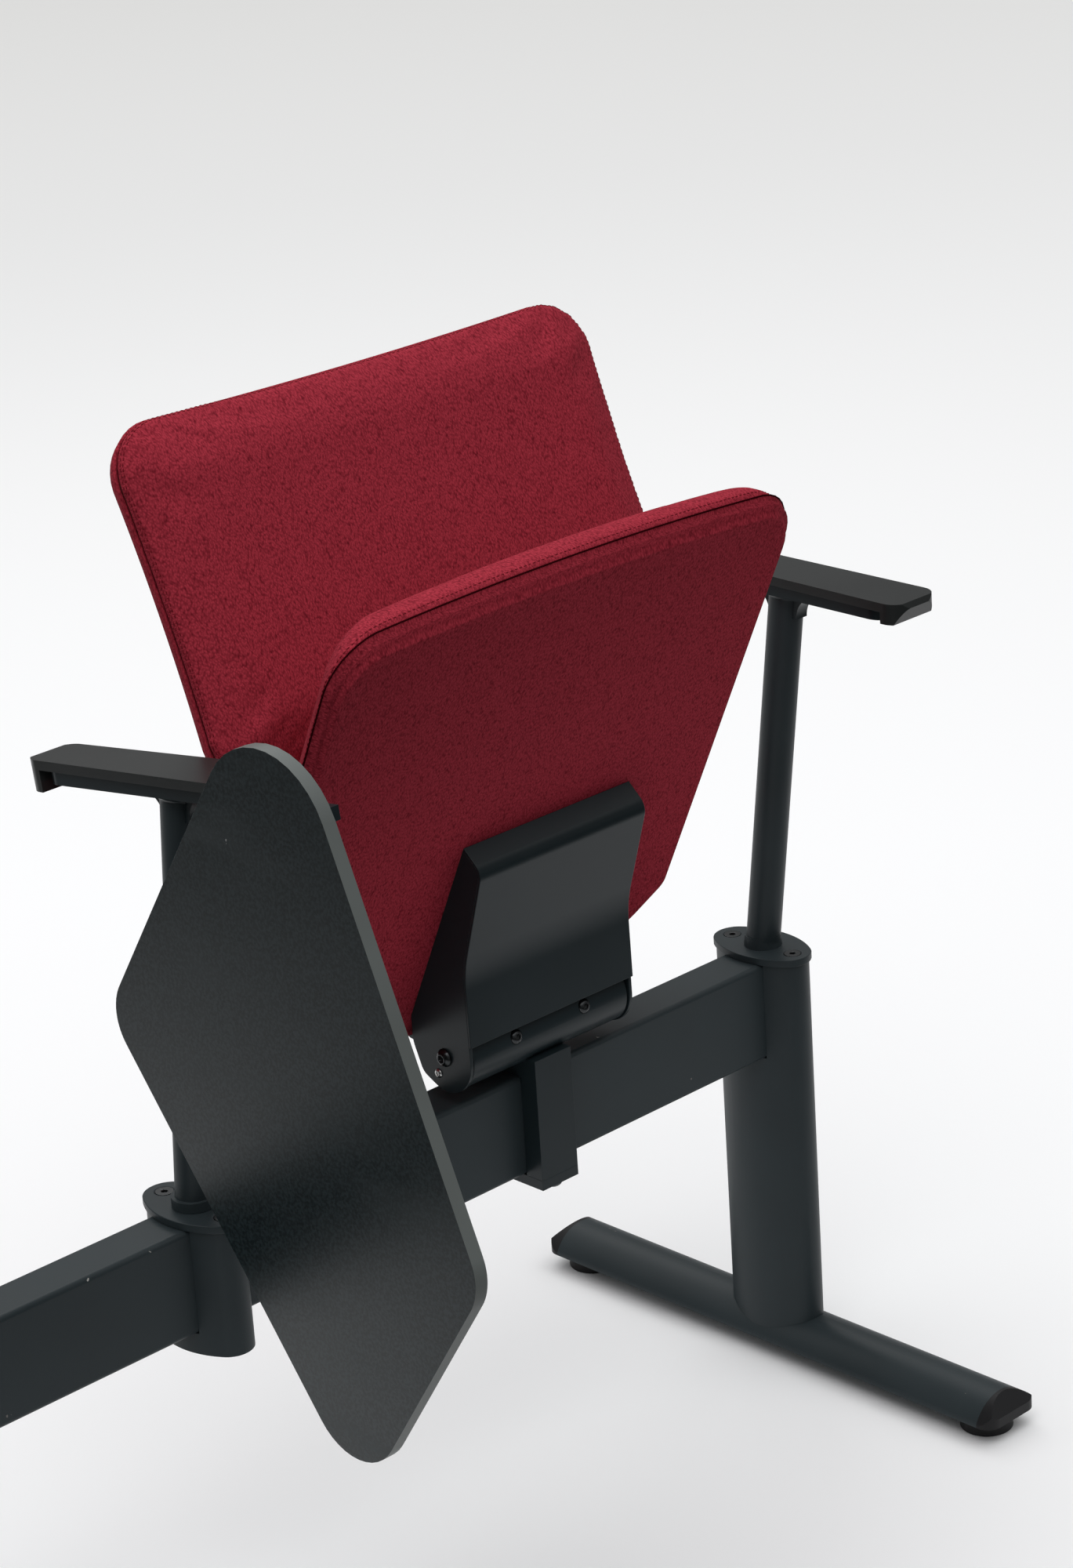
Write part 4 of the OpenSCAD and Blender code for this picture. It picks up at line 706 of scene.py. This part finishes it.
# %% Seat
SEAT_TIP, BRACKET_SHIFT, PIVOT_DROP = 64.6, 42, 41
SEAT_FLAT_HALF, SEAT_REAR, SEAT_FRONT, SEAT_TAPER = 214.2, 16, 395, 50
REAR_HALF, TAPER_HALF = 0.70 * SEAT_FLAT_HALF, 0.88 * SEAT_FLAT_HALF
REAR_R, TAPER_R, SIDE_R, FRONT_R, FRONT_BOW = 26, 60, 14, 36, -7
SHELL_T, CUSHION_T, BEVEL, SIDE_BEVEL, SIDE_DRAW = 11.7, 32.5, 12.7, 6.35, 0.115
TUCK, LIP_OUT, LIP_IN = 2.5, 1.2, 4
TAPER_START, TAPER_MID = SEAT_REAR - SEAT_TAPER, SEAT_REAR - SEAT_TAPER / 2
SEAT_CORNERS = [(REAR_HALF, SEAT_REAR, REAR_R), (-REAR_HALF, SEAT_REAR, REAR_R),
                (-TAPER_HALF, TAPER_MID, TAPER_R), (-SEAT_FLAT_HALF, TAPER_START, SIDE_R),
                (-SEAT_FLAT_HALF, -SEAT_FRONT, FRONT_R), (SEAT_FLAT_HALF, -SEAT_FRONT, FRONT_R),
                (SEAT_FLAT_HALF, TAPER_START, SIDE_R), (TAPER_HALF, TAPER_MID, TAPER_R)]
SEAT_RIM = [(x, y - (BEVEL - SIDE_BEVEL if y < -SEAT_FRONT else 0), r)
            for x, y, r in inset(SEAT_CORNERS, -SIDE_BEVEL)]
SEAT_BOWS = [0, 0, 0, 0, FRONT_BOW, 0, 0, 0]
SEAT_CENTRE = (0, (SEAT_REAR - SEAT_FRONT) / 2)
seat_place = (Matrix.Translation(pivot) @ Matrix.Rotation(math.radians(-SEAT_TIP), 4, "X")
              @ Matrix.Translation(Vector((-BRACKET_SHIFT, 0, PIVOT_DROP)) * MM))


def pad_rows(corners, bows, centre, outset, base, height, profile, crown, lip, draw=0.0):
    """Rows up a cushion: a lip tucked below its seam, the wall by the profile, and the crown."""
    first = profile[0][0] * outset
    rows = [ring(inset(corners, LIP_IN - first), bows, base - lip),
            ring(inset(corners, LIP_OUT - first), bows, base)]
    for out, up in profile:
        row = ring(inset(corners, -out * outset), bows, base + up * height)
        rows.append([Vector((p.x * (1 - draw * up), p.y, p.z)) for p in row])
    rows += [drawn_to(rows[-1], centre, share, base + up * height) for share, up in crown]
    return rows


SEAT_PROFILE = [(0.01, 0.035), (0.04, 0.09), (0.055, 0.2), (0.05, 0.40), (0, 0.59), (-0.16, 0.75),
                (-0.46, 0.86)]
SEAT_CROWN = [(0.93, 0.90), (0.84, 0.925), (0.7, 0.945), (0.5, 0.955), (0.25, 0.96)]
cushion_rows = pad_rows(SEAT_RIM, SEAT_BOWS, SEAT_CENTRE, CUSHION_T, SHELL_T, CUSHION_T, SEAT_PROFILE,
                        SEAT_CROWN, TUCK, SIDE_DRAW)
seat_cushion = pad_piece("seat_cushion", cushion_rows, seat_place, SEAT_CENTRE, SHELL_T + TUCK)


def between(share, drop=0.0):
    """The outline a share of the way from the crease to the rim, then moved inwards."""
    moved = [tuple(a + (b - a) * share for a, b in zip(*pair)) for pair in zip(SEAT_CORNERS, SEAT_RIM)]
    return inset(moved, drop)


underside_rows = [drawn_to(ring(inset(SEAT_CORNERS, 0.6), SEAT_BOWS, 0), SEAT_CENTRE, share, 0)
                  for share in (0.3, 0.7, 0.97)]
underside_rows += [ring(between(share, drop), SEAT_BOWS, height) for share, drop, height in (
    (0, 0.6, 0), (0.01, 0.05, 0.12), (0.06, 0, 0.7), (0.5, -0.2, 0.5 * SHELL_T),
    (0.9, -0.1, 0.9 * SHELL_T), (1, 0.1, SHELL_T - 0.5), (1, 0.9, SHELL_T - 0.1),
    (1, 3.0, SHELL_T - 0.1), (1, 3.2, 4.0))]
seat_underside = pad_piece("seat_underside", underside_rows, seat_place, SEAT_CENTRE)
print("seat pad", len(seat_cushion.data.polygons), "faces")

# %% [markdown]
# ### The back
# Its frame has x across, y up the back and z out of its front face, and starts at its top edge.
# The shoulder is the wide slope that falls from the flat front to the seam.

# %% Back
BACK_LEAN, BACK_HALF, BACK_H, BACK_T, BACK_SHELL, SHOULDER = 22.3, 224, 265, 26, 12, 40
BACK_LOW_R, BACK_TOP_R, BACK_BOW, BACK_TUCK, REAR_INSET = 38, 42, 2.5, 2.0, 6
BACK_X, BACK_Y, BACK_TOP = 275, 121.992, 889.0
BACK_PLACE = Vector((BACK_X, BACK_Y, BACK_TOP))
BACK_CORNERS = [(-BACK_HALF, -BACK_H, BACK_LOW_R), (BACK_HALF, -BACK_H, BACK_LOW_R),
                (BACK_HALF, 0, BACK_TOP_R), (-BACK_HALF, 0, BACK_TOP_R)]
BACK_BOWS = [BACK_BOW] * 4
BACK_CENTRE = (0, -BACK_H / 2)
back_place = (Matrix.Translation(BACK_PLACE * MM) @ Matrix.Rotation(math.radians(-BACK_LEAN), 4, "X")
              @ Matrix.Translation(Vector((0, BACK_T, 0)) * MM)
              @ Matrix.Rotation(math.radians(90), 4, "X"))
BACK_PROFILE = [(-0.075, 0.05), (-0.03, 0.11), (-0.01, 0.22), (-0.03, 0.36), (-0.08, 0.44),
                (-0.36, 0.64), (-0.68, 0.80), (-1, 0.90)]
BACK_CROWN = [(0.93, 0.925), (0.75, 0.935), (0.5, 0.94), (0.25, 0.945)]
back_rows = pad_rows(BACK_CORNERS, BACK_BOWS, BACK_CENTRE, SHOULDER, 0, BACK_T, BACK_PROFILE,
                     BACK_CROWN, BACK_TUCK)
back_cushion = pad_piece("back_cushion", back_rows, back_place, BACK_CENTRE, BACK_TUCK + 1)
rear = inset(BACK_CORNERS, REAR_INSET)
rear_face = ring(inset(rear, 1), BACK_BOWS, -BACK_SHELL)
cover_rows = [drawn_to(rear_face, BACK_CENTRE, share, -BACK_SHELL) for share in (0.3, 0.7, 0.97)]
cover_rows += [rear_face] + [ring(inset(rear, drop), BACK_BOWS, height) for drop, height in (
    (0.2, 0.4 - BACK_SHELL), (-0.2, 1.3 - BACK_SHELL), (-2.2, -5.5), (-4, -1.2), (-3, -0.3), (-1, -0.2),
    (-0.8, 3 - BACK_SHELL))]
pad_piece("back_rear_cover", cover_rows, back_place, BACK_CENTRE)
print("back pad", len(back_cushion.data.polygons), "faces")

# %% [markdown]
# ## Stitches
# One Geometry Nodes group walks along a line at an even pitch, drops each stitch onto the
# cloth and turns it along the seam. Its pitch, stitch length and thickness are its inputs. The
# same group with a short pitch and a near-black thread lays a painted shade line in the groove
# of the seat's seam.

# %% Rows of stitches
def put_group(name, *inputs):
    """A Geometry Nodes group with a geometry input, more inputs by kind, and its sockets."""
    group = bpy.data.node_groups.new(name, "GeometryNodeTree")
    group.interface.new_socket("Geometry", in_out="OUTPUT", socket_type="NodeSocketGeometry")
    for label, kind in (("Geometry", "Geometry"), *inputs):
        group.interface.new_socket(label, in_out="INPUT", socket_type="NodeSocket" + kind)
    return group, put(group, "NodeGroupInput").outputs


def put_finish(group, shapes, material):
    """The end of a group: real meshes, shaded smooth, in one material."""
    real = put(group, "GeometryNodeRealizeInstances", {"Geometry": shapes})
    smooth = put(group, "GeometryNodeSetShadeSmooth", {"Geometry": real.outputs[0]})
    painted = put(group, "GeometryNodeSetMaterial", {"Geometry": smooth.outputs[0],
                                                     "Material": material})
    put(group, "NodeGroupOutput", {"Geometry": painted.outputs[0]})


def grown(name, mesh, group, **values):
    """A plain object grown from a mesh by a Geometry Nodes group with its inputs set."""
    obj = new_object(name, mesh)
    grow = obj.modifiers.new("grow", "NODES")
    grow.node_group = group
    for item in group.interface.items_tree:
        if item.in_out == "INPUT" and item.name in values:
            grow[item.identifier] = values[item.name]
    return settle(obj)


def stitch_row():
    """The group that sets one row of stitches along a line, laid on the cloth."""
    group, given = put_group("stitch row", ("Pitch", "Float"), ("Length", "Float"),
                             ("Thickness", "Float"), ("Cloth", "Object"), ("Thread", "Material"))
    line = put(group, "GeometryNodeMeshToCurve", {"Mesh": given["Geometry"]})
    walk = put(group, "GeometryNodeCurveToPoints", {"Curve": line.outputs[0], "Length": given["Pitch"]},
               mode="LENGTH")
    cloth = put(group, "GeometryNodeObjectInfo", {"Object": given["Cloth"]})
    near = put(group, "GeometryNodeProximity", {"Geometry": cloth.outputs["Geometry"]},
               target_element="FACES")
    laid = put(group, "GeometryNodeSetPosition", {"Geometry": walk.outputs["Points"],
                                                  "Position": near.outputs["Position"]})
    size = put(group, "ShaderNodeCombineXYZ", {"X": given["Thickness"], "Y": given["Thickness"],
                                               "Z": given["Length"]})
    bead = put(group, "GeometryNodeMeshUVSphere", {"Segments": 6, "Rings": 4, "Radius": 0.5})
    stitches = put(group, "GeometryNodeInstanceOnPoints", {
        "Points": laid.outputs[0], "Instance": bead.outputs["Mesh"],
        "Rotation": walk.outputs["Rotation"], "Scale": size.outputs[0]})
    put_finish(group, stitches.outputs[0], given["Thread"])
    return group


STITCHES = stitch_row()
STITCH_PITCH, STITCH_L, STITCH_T, SEAM_PITCH, SEAM_T = 4.2, 2.9, 0.9, 1.4, 1.3
SEAM_OUT, STITCH_RISE, SEAM_RISE, BACK_STITCH_HEIGHTS = 1.5, 4.2, 0.2, (7.0, 10.5)


def stitched(name, cloth, corners, bows, height, place, pitch=STITCH_PITCH, thick=STITCH_T,
             thread=THREAD):
    """A row of stitches round a pad, at a height in its frame; a short pitch makes a solid cord, as in
    the seat's painted seam shade.
    """
    points = [place @ (p * MM) for p in ring(corners, bows, height)]
    mesh = bpy.data.meshes.new(name)
    mesh.from_pydata(points, [(i, (i + 1) % len(points)) for i in range(len(points))], [])
    obj = grown(name, mesh, STITCHES, Pitch=pitch * MM, Length=STITCH_L * MM,
                Thickness=thick * MM, Cloth=cloth, Thread=thread)
    return own(obj, thread, SLOT_OF["seat_cushion"], cloth["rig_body"])


seam = inset(SEAT_RIM, -SEAM_OUT)
rows = [stitched("seat_seam_stitches", seat_cushion, seam, SEAT_BOWS, SHELL_T + STITCH_RISE, seat_place),
        # painted shade: a dark line along the seam groove, where shade falls between cushion and pan
        stitched("seat_seam_line", seat_underside, seam, SEAT_BOWS, SHELL_T + SEAM_RISE, seat_place,
                 SEAM_PITCH, SEAM_T, SEAM_SHADE)]
for name, height in zip(("back_edge_stitches", "back_edge_stitches_2"), BACK_STITCH_HEIGHTS):
    rows.append(stitched(name, back_cushion, inset(BACK_CORNERS, 0.02 * SHOULDER), BACK_BOWS, height,
                         back_place))
print("stitches:", sum(len(o.data.polygons) for o in rows) // 24)

# %% [markdown]
# ## Screws
# The model's screws are plain, so each is measured from its own solid: its axis is the one that
# its other two spreads don't share, and its head is at the wide end. One group then sets a
# turned button head and its shank on every point.

# %% Screw shapes
def turned(name, rows):
    """A unit shape lofted from closed rows of points along z, in metres."""
    mesh = loft(name, rows, Matrix.Scale(1 / MM, 4), (0, 0))
    obj = new_object(name, mesh)
    obj.hide_render = True
    return obj


def circle_row(radius, height, count=24):
    """A closed row of points on a circle."""
    turns = [2 * math.pi * i / count for i in range(count)]
    return [Vector((radius * math.cos(turn), radius * math.sin(turn), height)) for turn in turns]


def hexagon_row(radius, height, count=24):
    """A hexagon with as many points as the circles, so the rows join one to one."""
    points = []
    for i in range(count):
        turn = 2 * math.pi * i / count
        points.append(Vector((math.cos(turn), math.sin(turn), 0)) * radius * math.cos(math.pi / 6)
                      / math.cos(turn % (math.pi / 3) - math.pi / 6) + Vector((0, 0, height)))
    return points


HEAD_TOP = 0.575
DOME = [(0.6, 0), (1, 0), (1, 0.1), (0.965, 0.2), (0.88, 0.33), (0.74, 0.46), (0.58, 0.55),
        (0.50, HEAD_TOP)]
SOCKET = [(0.47, 0.57), (0.44, 0.54), (0.43, 0.22), (0.40, 0.20)]
SHANK = [(0.9, -1), (1, -0.97), (1, 0.02)]
head = turned("button_head", [circle_row(*r) for r in DOME] + [hexagon_row(*r) for r in SOCKET])
shank = turned("screw_shank", [circle_row(*r, count=12) for r in SHANK])


def screw_set():
    """The group that sets a head and a shank on every point, by the sizes that it carries."""
    group, given = put_group("screw set", ("Head", "Object"), ("Shank", "Object"),
                             ("Finish", "Material"))
    way = put(group, "GeometryNodeInputNamedAttribute", {"Name": "way"}, data_type="FLOAT_VECTOR")
    turn = put(group, "FunctionNodeAlignRotationToVector", {"Vector": way.outputs["Attribute"]},
               axis="Z")
    parts = []
    for label, scale in (("Head", "head_size"), ("Shank", "shank_size")):
        size = put(group, "GeometryNodeInputNamedAttribute", {"Name": scale}, data_type="FLOAT_VECTOR")
        shape = put(group, "GeometryNodeObjectInfo", {"Object": given[label]})
        parts.append(put(group, "GeometryNodeInstanceOnPoints", {
            "Points": given["Geometry"], "Instance": shape.outputs["Geometry"],
            "Rotation": turn.outputs["Rotation"], "Scale": size.outputs["Attribute"]}).outputs[0])
    both = put(group, "GeometryNodeJoinGeometry")
    for part in parts:
        group.links.new(part, both.inputs[0])
    put_finish(group, both.outputs[0], given["Finish"])
    return group


SCREWS = screw_set()


# %% Measuring the screws
def loose_parts(node):
    """The vertex places of each separate solid in a node."""
    shape = bmesh.new()
    shape.from_mesh(nodes[node].data)
    bmesh.ops.remove_doubles(shape, verts=shape.verts, dist=2e-6)
    left, parts = set(shape.verts), []
    while left:
        queue, part = [left.pop()], []
        while queue:
            vertex = queue.pop()
            part.append(vertex.co.copy())
            for edge in vertex.link_edges:
                other = edge.other_vert(vertex)
                if other in left:
                    left.remove(other)
                    queue.append(other)
        parts.append(np.array(part))
    shape.free()
    return parts


def measured(points):
    """A screw's seat under its head, the way its head faces, and its four sizes."""
    centre = points.mean(axis=0)
    spread, axes = np.linalg.eigh(np.cov((points - centre).T))
    odd = 2 if spread[2] - spread[1] > spread[1] - spread[0] else 0
    axis = axes[:, odd]
    along = (points - centre) @ axis
    radius = np.linalg.norm(points - centre - np.outer(along, axis), axis=1)
    middle = (along.max() + along.min()) / 2
    if radius[along > middle].max() < radius[along < middle].max():
        axis, along = -axis, -along
    wide = radius > 0.97 * radius.max()
    seat = along[wide].min()
    tip = along.min()
    shank_r = radius[along < tip + 1e-5].max()
    place, height = Vector(centre + axis * seat), along.max() - seat
    return place, Vector(axis), radius.max(), shank_r, seat - tip, height


def screws(node, material):
    """All the screws of a node as one piece, each on its own measured place."""
    parts = [measured(p) for p in loose_parts(node)]
    mesh = bpy.data.meshes.new(node)
    mesh.from_pydata([p[0] for p in parts], [], [])
    for label, values in (("way", [p[1] for p in parts]),
                          ("head_size", [Vector((p[2], p[2], p[5] / HEAD_TOP)) for p in parts]),
                          ("shank_size", [Vector((p[3], p[3], p[4])) for p in parts])):
        layer = mesh.attributes.new(label, "FLOAT_VECTOR", "POINT")
        layer.data.foreach_set("vector", [c for v in values for c in v])
    obj = grown(node + "_piece", mesh, SCREWS, Head=head, Shank=shank, Finish=material)
    return own(obj, material, SLOT_OF[node], nodes[node]["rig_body"], node)


BUTTON_SCREWS = ["base_screws", "foot_screws", "arm_screws", "clamp_bolts", "drum_screws",
                 "pivot_screws", "stop_screws", "seat_screws", "back_bar_screws", "back_screws",
                 "hinge_block_screws", "tablet_screws"]
for node in BUTTON_SCREWS:
    screws(node, FINISH[SLOT_OF[node]])
for helper in (head, shank):
    bpy.data.objects.remove(helper)
print("screws:", sum(len(loose_parts(node)) for node in BUTTON_SCREWS))
